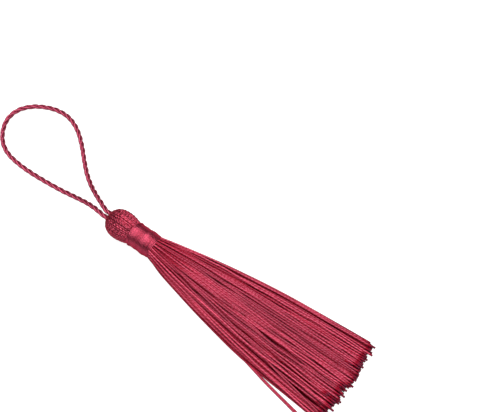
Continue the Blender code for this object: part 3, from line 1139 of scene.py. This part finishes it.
@dataclass
class Skirt:
    """The skirt: threads that fan out from the neck and lie on the table.

    Attributes:
        sections: The skirt's cross-section at places along its length.
        station_count: At how many places along it the threads are settled.
        crowding: How much closer those are at the neck.
        points_per_station: How many points a thread's course then gets for each.
        count: How many threads there are above the bed.
        bed_count: How many lie side by side under them, so that no gap shows the table.
        bed_rise: How high these lie over the underside, in radii.
        inset: How far out they go, as a share of the half width.
        round_under: The power of the underside's curve where it is round.
        flat_under: Its power where it is flat.
        rounding: How fast the power falls, for each millimetre that the skirt is off the table.
        girth_mm: A free thread's radius.
        skin_girth_mm: The radius at the neck of a thread that shows there.
        core_girth_mm: The radius at the neck of a thread inside it.
        skin_reach: How far out a thread shows at the neck, as a share of the radius.
        grown_mm: How far from the neck the threads are free.
        strays: How far each loose thread leaves the skirt's edge.
        stray_from_mm: Where along the skirt they leave it.
        stray_offset_mm: How far in and up from the edge thread they lie before that.
        stray_below: How high that thread's end may be over the table, in radii.
        sides: How many sides a thread's section has.
        seed: The start of the random numbers.
        pile: How the threads settle.
        pile_shade: The painted shade that darkens them in the pile.
        cut_line: How their ends are cut.
        waver: Their own waves.
    """

    sections: tuple[dict[str, float], ...] = (
        {"x": 23.8, "middle": 0.0, "half": 4.3, "top": 10.5, "widest": 6.15, "bottom": 1.85},
        {"x": 30.0, "middle": -0.2, "half": 6.25, "top": 11.0, "widest": 5.5, "bottom": 0.8},
        {"x": 40.0, "middle": 0.45, "half": 8.95, "top": 9.8, "widest": 3.7, "bottom": 0.0},
        {"x": 56.0, "middle": 0.65, "half": 12.75, "top": 7.6, "widest": 2.2, "bottom": 0.0},
        {"x": 78.0, "middle": 0.5, "half": 16.55, "top": 5.8, "widest": 1.2, "bottom": 0.0},
        {"x": 101.0, "middle": 0.4, "half": 18.5, "top": 4.9, "widest": 0.7, "bottom": 0.0},
        {"x": 122.3, "middle": 0.2, "half": 20.1, "top": 4.5, "widest": 0.5, "bottom": 0.0},
    )
    station_count: int = 15
    crowding: float = 0.45
    points_per_station: int = 3
    count: int = 190
    bed_count: int = 44
    bed_rise: float = 0.8
    inset: float = 0.97
    round_under: float = 2.0
    flat_under: float = 4.0
    rounding: float = 2.0
    girth_mm: float = 0.45
    skin_girth_mm: float = 0.46
    core_girth_mm: float = 0.22
    skin_reach: float = 0.90
    grown_mm: float = 16.0
    strays: tuple[float, ...] = (5.15, 4.45)
    stray_from_mm: float = 66.0
    stray_offset_mm: tuple[float, float] = (0.4, 0.3)
    stray_below: float = 3.0
    sides: int = 8
    seed: int = 11
    pile: Pile = Pile()
    pile_shade: PileShade = PileShade()
    cut_line: CutLine = CutLine()
    waver: Waver = Waver()

    def stations(self) -> np.ndarray:
        """Places along the skirt where the threads are settled against each other.

        Returns:
            The places, in millimetres.
        """
        low, high = self.sections[0]["x"], self.sections[-1]["x"]
        share = np.linspace(0.0, 1.0, self.station_count)
        return low + (high - low) * ((1.0 - self.crowding) * share + self.crowding * share**2)

    def outline(self, x: np.ndarray) -> dict[str, np.ndarray]:
        """The cross-section's sizes at any places along the skirt, by name."""
        rows = {k: np.array([row[k] for row in self.sections]) for k in self.sections[0]}
        return {k: smooth_table(x, rows["x"], rows[k]) for k in rows}

    def girths(self, x: np.ndarray, at_neck: float | np.ndarray) -> np.ndarray:
        """Threads' radii at the stations, from their radii at the neck."""
        grown = np.clip((x - x[0]) / self.grown_mm, 0.0, 1.0)[:, None]
        return at_neck + (self.girth_mm - at_neck) * grown

    def heights(self, shape: dict[str, np.ndarray], across: np.ndarray) -> tuple:
        """The heights of the skirt's underside and crown.

        Args:
            shape: The cross-section's sizes at the stations.
            across: Shares of the half width.

        Returns:
            The heights of the underside and those of the crown.
        """
        share = np.minimum(np.abs(across), 1.0)
        top, widest, bottom = (shape[k][:, None] for k in ("top", "widest", "bottom"))
        crown = widest + (top - widest) * np.sqrt(1.0 - share**2)
        # The underside goes from round at the neck to flat on the table
        power = self.flat_under - self.rounding * bottom
        power = np.clip(power, self.round_under, self.flat_under)
        under = widest - (widest - bottom) * (1.0 - share**power) ** (1.0 / power)
        return under, crown

    def spread(self, rng: np.random.Generator, x: np.ndarray) -> tuple[np.ndarray, ...]:
        """Threads in even order over every cross-section, before they settle.

        Args:
            rng: The random numbers.
            x: The stations.

        Returns:
            Stations by threads by (y, z) in millimetres, each thread's height limit at every
            station, and its radius there.
        """
        pile = self.pile
        index = np.arange(self.count) + 0.5
        reach = np.sqrt(index / self.count)
        # Steps of the golden angle spread any number of threads evenly
        turn = index * math.pi * (3.0 - math.sqrt(5.0))
        across, up = reach * np.cos(turn), reach * np.sin(turn)
        height = (up / np.sqrt(1.0 - across**2) + 1.0) / 2.0
        shape = self.outline(x)
        free = np.clip((x - x[0]) / (x[-1] - x[0]), 0.0, 1.0)[:, None]
        crossing = (height > pile.high) & (rng.random(self.count) < pile.crossing_share)
        wide = np.where(height < pile.low, pile.low_drift, pile.drift)
        drift = np.where(crossing, pile.crossing_drift, wide) * rng.normal(0.0, 1.0, self.count)
        # Threads gather in locks of uneven width
        locks = np.sort(rng.uniform(-1.0, 1.0, pile.lock_count))
        nearest = locks[np.abs(across[:, None] - locks).argmin(1)]
        start, end = pile.gather_span
        gather = pile.gather * np.sin(math.pi * np.clip(start + free, 0.0, end))
        gather = gather * (height > pile.low)
        across = across + gather * (nearest - across) + free * drift
        across = np.clip(across, -pile.edge, pile.edge)
        low, high = self.heights(shape, across)
        y = shape["middle"][:, None] + across * shape["half"][:, None]
        z = low + height * (high - low)
        rise = np.clip(pile.lift_rate * free, 0.0, 1.0)
        lift = np.where(crossing, pile.crossing_lift_mm, 0.0) * rise
        at_neck = np.where(reach > self.skin_reach, self.skin_girth_mm, self.core_girth_mm)
        return np.stack([y, z + lift], axis=2), z + pile.headroom_mm + lift, self.girths(x, at_neck)

    def settle(self, rng: np.random.Generator, x: np.ndarray) -> tuple[np.ndarray, ...]:
        """Spreads the threads and pushes them apart until they lie beside and on each other.

        Args:
            rng: The random numbers.
            x: The stations.

        Returns:
            Stations by threads by (y, z), each thread's radius at every station, and its painted
            shade for how deep it lies in the pile there, from 0 to 1.
        """
        places, ceiling, girths = self.spread(rng, x)
        shape = self.outline(x)
        middle, half = shape["middle"][:, None], shape["half"][:, None]
        apart = girths[:, :, None] + girths[:, None, :]
        for _ in range(self.pile.rounds):
            offset = places[:, :, None, :] - places[:, None, :, :]
            far = np.sqrt((offset**2).sum(3))
            np.einsum("sii->si", far)[...] = FAR_MM
            press = np.clip(apart - far, 0.0, None) / np.maximum(far, LEAST_MM)
            places += self.pile.push * np.einsum("sij,sijk->sik", press, offset)
            smooth = places.copy()
            smooth[1:-1] = 0.5 * (places[:-2] + places[2:])
            places += self.pile.straightening * (smooth - places)
            across = np.clip((places[:, :, 0] - middle) / half, -1.0, 1.0)
            low, _ = self.heights(shape, self.inset * across)
            places[:, :, 0] = middle + across * half
            places[:, :, 1] = np.clip(places[:, :, 1], np.maximum(low, girths), ceiling)
            places[:, :, 1] = np.maximum(places[:, :, 1], girths)
        _, crown = self.heights(shape, across)
        # Painted shade: darker the further a thread lies under the crown, and at the skirt's edges
        sunk = crown - places[:, :, 1] - self.pile_shade.skin_mm
        sunk = sunk / along_skirt(x, self.pile_shade.full_mm) + self.pile_shade.rim * across**4
        pile_shade = self.pile_shade.darkest * np.clip(sunk, 0.0, 1.0)
        # Round the neck, every other thread that shows is painted with more shade, as if it lay a
        # little deeper between its neighbours
        round_neck = np.arctan2(places[0, :, 1] - AXIS_HEIGHT_MM, places[0, :, 0])
        skin = np.flatnonzero(girths[0] > self.core_girth_mm)
        every_other = skin[np.argsort(round_neck[skin])][::2]
        pile_shade[:, skin] *= along_skirt(x, self.pile_shade.neck_upper)
        pile_shade[:, every_other] = np.maximum(pile_shade[:, every_other], along_skirt(x, self.pile_shade.neck_every_other))
        return places, girths, pile_shade

    def with_strays(self, x: np.ndarray, *settled: np.ndarray) -> list[np.ndarray]:
        """Adds the loose threads that leave the skirt's edge towards their ends.

        Args:
            x: The stations.
            *settled: The settled threads' places, radii and painted shade.

        Returns:
            The same three, with a column more for each loose thread.
        """
        ends = settled[0][-1]
        on_table = ends[:, 1] < self.stray_below * self.girth_mm
        edge = np.where(on_table, ends[:, 0], np.inf).argmin()
        leaves = np.clip((x - self.stray_from_mm) / (x[-1] - self.stray_from_mm), 0.0, None)
        inwards, up = self.stray_offset_mm
        grown = list(settled)
        for drift in self.strays:
            loose = [table[:, edge : edge + 1].copy() for table in settled]
            loose[0][:, 0, 0] += inwards * (1.0 - leaves) - drift * leaves
            loose[0][:, 0, 1] += up * (1.0 - leaves)
            loose[2] *= self.pile_shade.loose_share
            grown = [np.concatenate(pair, axis=1) for pair in zip(grown, loose)]
        return grown

    def bed(self, x: np.ndarray) -> tuple[np.ndarray, ...]:
        """The lowest threads, side by side along the skirt's underside.

        Args:
            x: The stations.

        Returns:
            Their places, radii and painted shade, as settle gives them for the others.
        """
        across = np.linspace(-self.inset, self.inset, self.bed_count)[None, :]
        shape = self.outline(x)
        girths = self.girths(x, np.full(self.bed_count, self.core_girth_mm))
        low, _ = self.heights(shape, across)
        y = shape["middle"][:, None] + across * shape["half"][:, None]
        z = np.maximum(low + self.bed_rise * girths, girths)
        # Painted shade: the bed threads are painted dark all along
        return np.stack([y, z], axis=2), girths, np.full_like(girths, self.pile_shade.bed)

    def threads(self) -> tuple[list[np.ndarray], dict[str, np.ndarray]]:
        """Every thread's course and the numbers that go with it.

        Returns:
            The threads' points in millimetres, and their girth, own shade and painted pile shade.
        """
        rng = np.random.default_rng(self.seed)
        x = self.stations()
        pile = self.with_strays(x, *self.settle(rng, x))
        places, girths, pile_shade = (np.concatenate(pair, axis=1) for pair in zip(pile, self.bed(x)))
        along = np.broadcast_to(x[:, None], girths.shape)
        whole = np.stack([along, places[:, :, 0], places[:, :, 1], girths, pile_shade], axis=2)
        fine = catmull_rom(whole, self.points_per_station)
        last = self.sections[-1]
        share = np.clip((places[-1, :, 0] - last["middle"]) / last["half"], -1.0, 1.0)
        cuts = self.cut_line.places(rng, share, last["x"])
        lines, numbers = [], {GIRTH: [], SHADE: [], PILE_SHADE: []}
        for thread, cut in enumerate(cuts):
            line = self.cut_line.end(self.waver.bend(rng, fine[:, thread], share[thread]), cut)
            lines.append(line[:, :3])
            numbers[GIRTH].append(line[:, 3] * MM)
            numbers[SHADE].append(np.full(len(line), rng.uniform(-0.5, 0.5)))
            numbers[PILE_SHADE].append(self.pile_shade.with_cut(line))
        return lines, {k: np.concatenate(v) for k, v in numbers.items()}

    def build(self, place: TasselFrame, silk: bpy.types.Material) -> list:
        """Builds the skirt as one mesh of threads.

        Args:
            place: The tassel's frame.
            silk: Its material.

        Returns:
            The piece.
        """
        lines, numbers = self.threads()
        thing = wire_mesh("skirt_threads", [place.to_row(line) for line in lines], numbers)
        grow(thing, laid_threads_tree(), {"Sides": self.sides, "Material": silk})
        dress(thing, "head_and_skirt")
        return [thing]


# The head


@dataclass
class Head:
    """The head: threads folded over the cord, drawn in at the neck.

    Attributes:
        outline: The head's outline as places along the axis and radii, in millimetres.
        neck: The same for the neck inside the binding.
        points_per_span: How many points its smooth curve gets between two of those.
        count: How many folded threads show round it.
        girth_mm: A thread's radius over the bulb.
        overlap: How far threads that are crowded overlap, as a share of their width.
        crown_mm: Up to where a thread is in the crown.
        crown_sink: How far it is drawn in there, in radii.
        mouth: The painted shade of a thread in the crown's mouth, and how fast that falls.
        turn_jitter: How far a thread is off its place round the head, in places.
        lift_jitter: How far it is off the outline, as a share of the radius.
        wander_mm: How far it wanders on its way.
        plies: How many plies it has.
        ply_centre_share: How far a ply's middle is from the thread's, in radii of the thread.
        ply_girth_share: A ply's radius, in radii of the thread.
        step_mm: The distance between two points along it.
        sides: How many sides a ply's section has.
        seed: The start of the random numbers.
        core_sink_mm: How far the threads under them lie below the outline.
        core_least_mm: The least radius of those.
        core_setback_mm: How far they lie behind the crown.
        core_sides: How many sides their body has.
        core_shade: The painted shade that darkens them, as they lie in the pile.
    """

    outline: Rows = (
        (2.6, 2.5),
        (1.5, 2.5),
        (0.8, 2.75),
        (0.5, 3.2),
        (0.85, 3.85),
        (2.0, 4.95),
        (3.6, 5.85),
        (5.6, 6.4),
        (8.2, 6.5),
        (10.6, 6.12),
        (12.4, 5.57),
        (13.4, 5.1),
        (14.4, 4.75),
    )
    neck: Rows = ((15.0, 5.45), (24.4, 5.45))
    points_per_span: int = 4
    count: int = 42
    girth_mm: float = 0.52
    overlap: float = 1.15
    crown_mm: float = 2.0
    crown_sink: float = 0.6
    mouth: tuple[float, float] = (1.0, 0.8)
    turn_jitter: float = 0.75
    lift_jitter: float = 0.012
    wander_mm: float = 0.42
    plies: int = 2
    ply_centre_share: float = 0.32
    ply_girth_share: float = 0.72
    step_mm: float = 0.25
    sides: int = 6
    seed: int = 5
    core_sink_mm: float = 0.6
    core_least_mm: float = 0.2
    core_setback_mm: float = 0.25
    core_sides: int = 48
    core_shade: float = 0.6

    def course(self) -> np.ndarray:
        """The smooth outline from the mouth of the crown to the neck, as (x, radius) rows."""
        return catmull_rom(np.array(self.outline), self.points_per_span)

    def fold(self) -> tuple[np.ndarray, dict[str, np.ndarray]]:
        """One thread's course over the head, in the plane above the axis.

        Returns:
            Its points in millimetres, and its girth and painted shade, darkest in the crown's mouth.
        """
        outline = self.course()
        crowd = math.pi * outline[:, 1] / self.count * self.overlap
        girth = np.minimum(self.girth_mm, crowd)
        line = np.stack([outline[:, 0], np.zeros(len(outline)), outline[:, 1] - girth], axis=1)
        line[:, 0] += np.where(outline[:, 0] < self.crown_mm, girth * self.crown_sink, 0.0)
        # Painted shade: threads are darker in the crown's mouth, where the cord goes in
        darkest, rise = self.mouth
        return line, {GIRTH: girth * MM, PILE_SHADE: np.clip(darkest - rise * line[:, 0], 0.0, 1.0)}

    def core(self, place: TasselFrame, silk: bpy.types.Material) -> bpy.types.Object:
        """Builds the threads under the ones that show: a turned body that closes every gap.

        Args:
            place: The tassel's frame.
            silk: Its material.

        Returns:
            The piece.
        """
        outline = np.concatenate([self.course(), self.neck])
        sides = self.core_sides
        points, faces = [], []
        for x, radius in outline:
            reach = max(radius - self.core_sink_mm, self.core_least_mm)
            for turn in FULL_TURN * np.arange(sides) / sides:
                up = AXIS_HEIGHT_MM + reach * math.sin(turn)
                points.append((x + self.core_setback_mm, reach * math.cos(turn), up))
        last = (len(outline) - 1) * sides
        for start in range(0, last, sides):
            for k in range(sides):
                here, after = start + k, start + (k + 1) % sides
                faces.append((here, after, after + sides, here + sides))
        faces += [tuple(reversed(range(sides))), tuple(range(last, last + sides))]
        mesh = bpy.data.meshes.new("head_core")
        mesh.from_pydata([Vector(p) for p in place.to_row(np.array(points))], [], faces)
        mesh.shade_smooth()
        mesh.materials.append(silk)
        # Painted shade: the whole body is darkened, as it lies under the folded threads
        deep = mesh.attributes.new(PILE_SHADE, "FLOAT", "POINT")
        deep.data.foreach_set("value", np.full(len(mesh.vertices), self.core_shade, np.float32))
        face_outwards(mesh)
        return linked("head_core", mesh)

    def build(self, place: TasselFrame, silk: bpy.types.Material) -> list:
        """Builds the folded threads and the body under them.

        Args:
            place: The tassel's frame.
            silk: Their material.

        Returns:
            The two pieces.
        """
        line, numbers = self.fold()
        threads = wire_mesh("head_threads", [line * MM], numbers)
        values = {
            "Count": self.count,
            "Turn Jitter": self.turn_jitter,
            "Lift Jitter": self.lift_jitter,
            "Wander": self.wander_mm * MM,
            "Seed": self.seed,
            "Plies": self.plies,
            "Ply Centre Share": self.ply_centre_share,
            "Ply Girth Share": self.ply_girth_share,
            "Lay": SKEIN_SILK.twist.value * SKEIN_SILK.lay_mm * MM,
            "Step": self.step_mm * MM,
            "Sides": self.sides,
            "Material": silk,
        }
        grow(threads, folded_threads_tree(), values)
        place.set_on_axis(threads, 0.0)
        # The head's weight presses flat what would be under the table
        for vertex in threads.data.vertices:
            vertex.co.z = max(vertex.co.z, 0.0)
        pieces = [threads, self.core(place, silk)]
        for piece in pieces:
            dress(piece, "head_and_skirt")
        return pieces


# The binding


@dataclass
class NeckBinding:
    """The binding: fine thread wound tight over the neck.

    Attributes:
        outline: Its radius at places along the neck, in millimetres, lumpy at the ends.
        turns: How many turns of thread show.
        thread_girth_mm: The thread's radius.
        wander_mm: How far a turn rides up or along.
        points_per_turn: How many points its curve has.
        sides: How many sides the thread's section has.
    """

    outline: Rows = (
        (13.35, 5.15),
        (13.9, 5.55),
        (14.6, 5.62),
        (15.4, 5.42),
        (16.3, 5.40),
        (17.4, 5.48),
        (18.6, 5.40),
        (19.7, 5.46),
        (20.8, 5.64),
        (21.6, 5.62),
        (22.6, 5.44),
        (23.7, 5.40),
        (24.6, 5.26),
        (25.25, 4.95),
    )
    turns: int = 26
    thread_girth_mm: float = 0.25
    wander_mm: float = 0.34
    points_per_turn: int = 56
    sides: int = 6

    def build(self, place: TasselFrame, silk: bpy.types.Material) -> list:
        """Builds the winding as one long thread over the neck.

        Args:
            place: The tassel's frame.
            silk: Its material.

        Returns:
            The piece.
        """
        rows = np.array(self.outline)
        start, end = rows[0, 0], rows[-1, 0]
        widest = rows[:, 1].max() - self.thread_girth_mm
        length = end - start
        shares = [((x - start) / length, (r - self.thread_girth_mm) / widest) for x, r in rows]
        thing = wire_mesh("binding_thread", [np.array([[0.0, 0.0, 0.0], [MM, 0.0, 0.0]])], {})
        values = {
            "Turns": float(self.turns),
            "Points per Turn": self.points_per_turn,
            "Radius": widest * MM,
            "Length": length * MM,
            "Thread Girth": self.thread_girth_mm * MM,
            "Wander": self.wander_mm * MM,
            "Sides": self.sides,
            "Material": silk,
        }
        grow(thing, wound_thread_tree(shares), values)
        place.set_on_axis(thing, start)
        dress(thing, "neck_binding")
        return [thing]


# The loop


@dataclass
class HangingLoop:
    """The hanging loop: one length of twisted cord that leaves the crown and comes back to it.

    Attributes:
        route: The centreline's points in millimetres, the same as in the solid.
        points_per_span: How many points the smooth centreline gets between two of those.
        diameter_mm: The cord's diameter.
        plies: How many plies it is laid from.
        lay_mm: The length of one turn.
        twist: The way the plies turn.
        ply_girth_mm: A ply's radius.
        step_mm: The distance between two points along it.
        sides: How many sides a ply's section has.
    """

    route: tuple[Point, ...] = (
        (1.9, -1.2, 6.3),
        (0.0, -1.2, 6.3),
        (-3.5, -1.0, 6.2),
        (-7.5, -0.45, 5.65),
        (-12.0, -0.05, 4.4),
        (-18.0, -0.05, 2.6),
        (-23.0, -0.4, 1.55),
        (-28.0, -0.95, 1.15),
        (-35.9, -1.65, 1.1),
        (-43.9, -2.05, 1.1),
        (-50.9, -1.9, 1.1),
        (-57.5, -0.95, 1.1),
        (-62.4, 1.1, 1.1),
        (-66.2, 4.2, 1.1),
        (-69.3, 8.7, 1.1),
        (-70.8, 13.7, 1.1),
        (-70.0, 18.9, 1.1),
        (-66.9, 23.4, 1.1),
        (-62.3, 26.8, 1.1),
        (-56.6, 29.1, 1.1),
        (-50.7, 29.7, 1.1),
        (-45.1, 28.4, 1.1),
        (-39.9, 25.7, 1.1),
        (-34.5, 21.6, 1.1),
        (-28.5, 16.25, 1.15),
        (-23.0, 11.75, 1.55),
        (-17.7, 8.3, 2.6),
        (-12.1, 5.35, 4.4),
        (-7.2, 3.15, 5.65),
        (-3.4, 1.6, 6.2),
        (0.0, 1.2, 6.3),
        (1.9, 1.2, 6.3),
    )
    points_per_span: int = 8
    diameter_mm: float = 2.2
    plies: int = 3
    lay_mm: float = 10.2
    twist: Twist = Twist.Z
    ply_girth_mm: float = 0.53
    step_mm: float = 0.35
    sides: int = 10

    def centreline(self, place: TasselFrame) -> np.ndarray:
        """The cord's smooth centreline, in metres in the row's frame."""
        return place.to_row(catmull_rom(np.array(self.route), self.points_per_span))

    def build(self, place: TasselFrame, silk: bpy.types.Material) -> list:
        """Args:
            place: The tassel's frame.
            silk: Its material.

        Returns:
            The piece.
        """
        line = self.centreline(place)
        thing = wire_mesh("loop_cord", [line], {})
        values = {
            "Plies": self.plies,
            "Lay": self.twist.value * self.lay_mm * MM,
            "Ply Centre Radius": (self.diameter_mm / 2 - self.ply_girth_mm) * MM,
            "Ply Girth": self.ply_girth_mm * MM,
            "Step": self.step_mm * MM,
            "Sides": self.sides,
            "Material": silk,
        }
        grow(thing, laid_cord_tree(), values)
        dress(thing, "hanging_loop")
        return [thing]


# The table, the light and the camera


@dataclass(frozen=True)
class Softbox:
    """A softbox that hangs level over the tassel.

    Attributes:
        name: Its name.
        radiance: How bright it looks.
        middle: The place of its middle along Y, in metres.
        pile_shade: Its size along Y, in metres.
        width: Its size along X.
        height: How high it hangs.
    """

    name: str
    radiance: float
    middle: float
    pile_shade: float
    width: float = 1.8
    height: float = 1.18

    def hang(self) -> None:
        """Hangs it over the tassel."""
        data = bpy.data.lights.new(self.name, "AREA")
        data.shape = "RECTANGLE"
        data.size = self.width
        data.size_y = self.pile_shade
        data.energy = self.radiance * 4.0 * math.pi * data.size * self.pile_shade
        linked(self.name, data).location = (0.0, self.middle, self.height)


@dataclass(frozen=True)
class Studio:
    """A pale table, two soft lights overhead, a dim room, and the camera at the photo's angle.

    Attributes:
        target_mm: The point on the table at the middle of the view, in the tassel's frame.
        distance_mm: How far the camera is from it.
        azimuth: The camera's direction round the tassel, in degrees.
        elevation: Its height above the horizon, in degrees.
        lens_mm: The focal length.
        sensor_mm: The sensor's width.
        clip: The nearest and furthest that the camera sees, in metres.
        softboxes: The lights: the key overhead and a fill on the camera's side.
        room_lean: The way in which the room is brightest.
        end_gain: How much brighter the walls at the tassel's two ends make it.
        wall_light: How bright the room is low down on the camera's side.
        end_light: How bright it is where it is brightest.
        backdrop_light: How bright it looks behind the table.
        table_glow: How bright the table is by itself, as it is lit from below.
        table_seen_glow: How much brighter the camera sees it.
        table_tones: Its darkest and lightest grey.
        table_roughness: How dull it is.
        grain_per_metre: How fine its grain is.
        table_side: How far it reaches to each side, in metres.
    """

    target_mm: Point = (43.148, 42.1, 0.0)
    distance_mm: float = 480.727
    azimuth: float = 36.4077
    elevation: float = 62.0
    lens_mm: float = 80.0
    sensor_mm: float = 36.0
    clip: tuple[float, float] = (0.01, 20.0)
    softboxes: tuple[Softbox, ...] = (
        Softbox(name="key", radiance=1.14, middle=0.5, pile_shade=1.2),
        Softbox(name="fill", radiance=0.80, middle=-0.75, pile_shade=1.3),
    )
    room_lean: Point = (-0.40, 0.30, 0.87)
    end_gain: float = 2.4
    wall_light: float = 0.03
    end_light: float = 1.80
    backdrop_light: float = 0.85
    table_glow: float = 0.55
    table_seen_glow: float = 0.27
    table_tones: tuple[float, float] = (0.30, 0.32)
    table_roughness: float = 0.75
    grain_per_metre: float = 60.0
    table_side: float = 2.5

    def camera(self, place: TasselFrame) -> None:
        """Sets the camera up.

        Args:
            place: The tassel's frame.
        """
        turn, rise = math.radians(self.azimuth), math.radians(self.elevation)
        level = math.cos(rise)
        back = Vector((math.sin(turn) * level, -math.cos(turn) * level, math.sin(rise)))
        data = bpy.data.cameras.new("camera")
        data.lens = self.lens_mm
        data.sensor_width = self.sensor_mm
        data.clip_start, data.clip_end = self.clip
        thing = linked("camera", data)
        target = Vector(place.to_row(np.array(self.target_mm)))
        thing.location = target + back * self.distance_mm * MM
        thing.rotation_mode = "QUATERNION"
        thing.rotation_quaternion = (-back).to_track_quat("-Z", "Y")
        bpy.context.scene.camera = thing

    def table(self) -> None:
        """Lays a plain pale floor under the tassel."""
        made = bpy.data.materials.new("pale table")
        made.use_nodes = True
        tree = Tree(made.node_tree)
        place = tree.add("ShaderNodeTexCoord").outputs["Object"]
        values = {"Vector": place, "Scale": self.grain_per_metre, "Detail": 4.0}
        grain = tree.add("ShaderNodeTexNoise", values).outputs[0]
        dark, light = ((tone, tone, tone, 1.0) for tone in self.table_tones)
        seen = tree.add("ShaderNodeLightPath").outputs["Is Camera Ray"]
        glow = tree.math("MULTIPLY_ADD", seen, self.table_seen_glow, self.table_glow)
        values = {
            "Base Color": tree.mix(grain, dark, light),
            "Emission Color": (1.0, 1.0, 1.0, 1.0),
            "Emission Strength": glow,
            "Roughness": self.table_roughness,
        }
        tree.fill(made.node_tree.nodes["Principled BSDF"], values)
        side = self.table_side
        mesh = bpy.data.meshes.new("table")
        corners = [(-side, -side, 0.0), (side, -side, 0.0), (side, side, 0.0), (-side, side, 0.0)]
        mesh.from_pydata(corners, [], [(0, 1, 2, 3)])
        mesh.materials.append(made)
        linked("table", mesh)

    def light(self) -> None:
        """Hangs the softboxes over the tassel and fills the room with dim light."""
        scene = bpy.context.scene
        scene.view_settings.view_transform = "Standard"
        world = bpy.data.worlds.new("room")
        scene.world = world
        world.use_nodes = True
        tree = Tree(world.node_tree)
        way = tree.add("ShaderNodeTexCoord").outputs["Generated"]
        values = {0: way, 1: self.room_lean}
        lean = tree.add("ShaderNodeVectorMath", values, operation="DOT_PRODUCT")
        # The walls at the tassel's two ends are light, the one on the camera's side is dark
        across = tree.add("ShaderNodeSeparateXYZ", {"Vector": way}).outputs["X"]
        ends = tree.math("MULTIPLY", across, across)
        rise = tree.math("MULTIPLY_ADD", ends, self.end_gain, lean.outputs["Value"])
        values = {
            "Value": rise,
            "From Min": 0.0,
            "From Max": self.end_gain,
            "To Min": self.wall_light,
            "To Max": self.end_light,
        }
        ramp = tree.add("ShaderNodeMapRange", values)
        seen = tree.add("ShaderNodeLightPath").outputs["Is Camera Ray"]
        values = {0: seen, 2: ramp.outputs[0], 3: self.backdrop_light}
        strength = tree.add("ShaderNodeMix", values, data_type="FLOAT").outputs[0]
        tree.fill(world.node_tree.nodes["Background"], {"Strength": strength})
        for box in self.softboxes:
            box.hang()

    def build(self, place: TasselFrame) -> None:
        """Sets up the camera, the table and the light.

        Args:
            place: The tassel's frame.
        """
        self.camera(place)
        self.table()
        self.light()


def main() -> None:
    """Builds the tassel's pieces in order."""
    logging.basicConfig(level=logging.INFO, format="%(name)s: %(message)s")
    place = TasselFrame.from_solids()
    Studio().build(place)
    plied, dyed = plied_thread_group(), dyed_thread_group()
    skein = SKEIN_SILK.material(plied, dyed)
    binding = BINDING_SILK.material(plied, dyed)
    cord = CORD_SILK.material(plied, dyed)
    pieces = HangingLoop().build(place, cord)
    pieces += Head().build(place, skein)
    pieces += Skirt().build(place, skein)
    pieces += NeckBinding().build(place, binding)
    for piece in pieces:
        LOG.info("%s: %d faces", piece.name, len(piece.data.polygons))


if __name__ == "__main__":
    main()
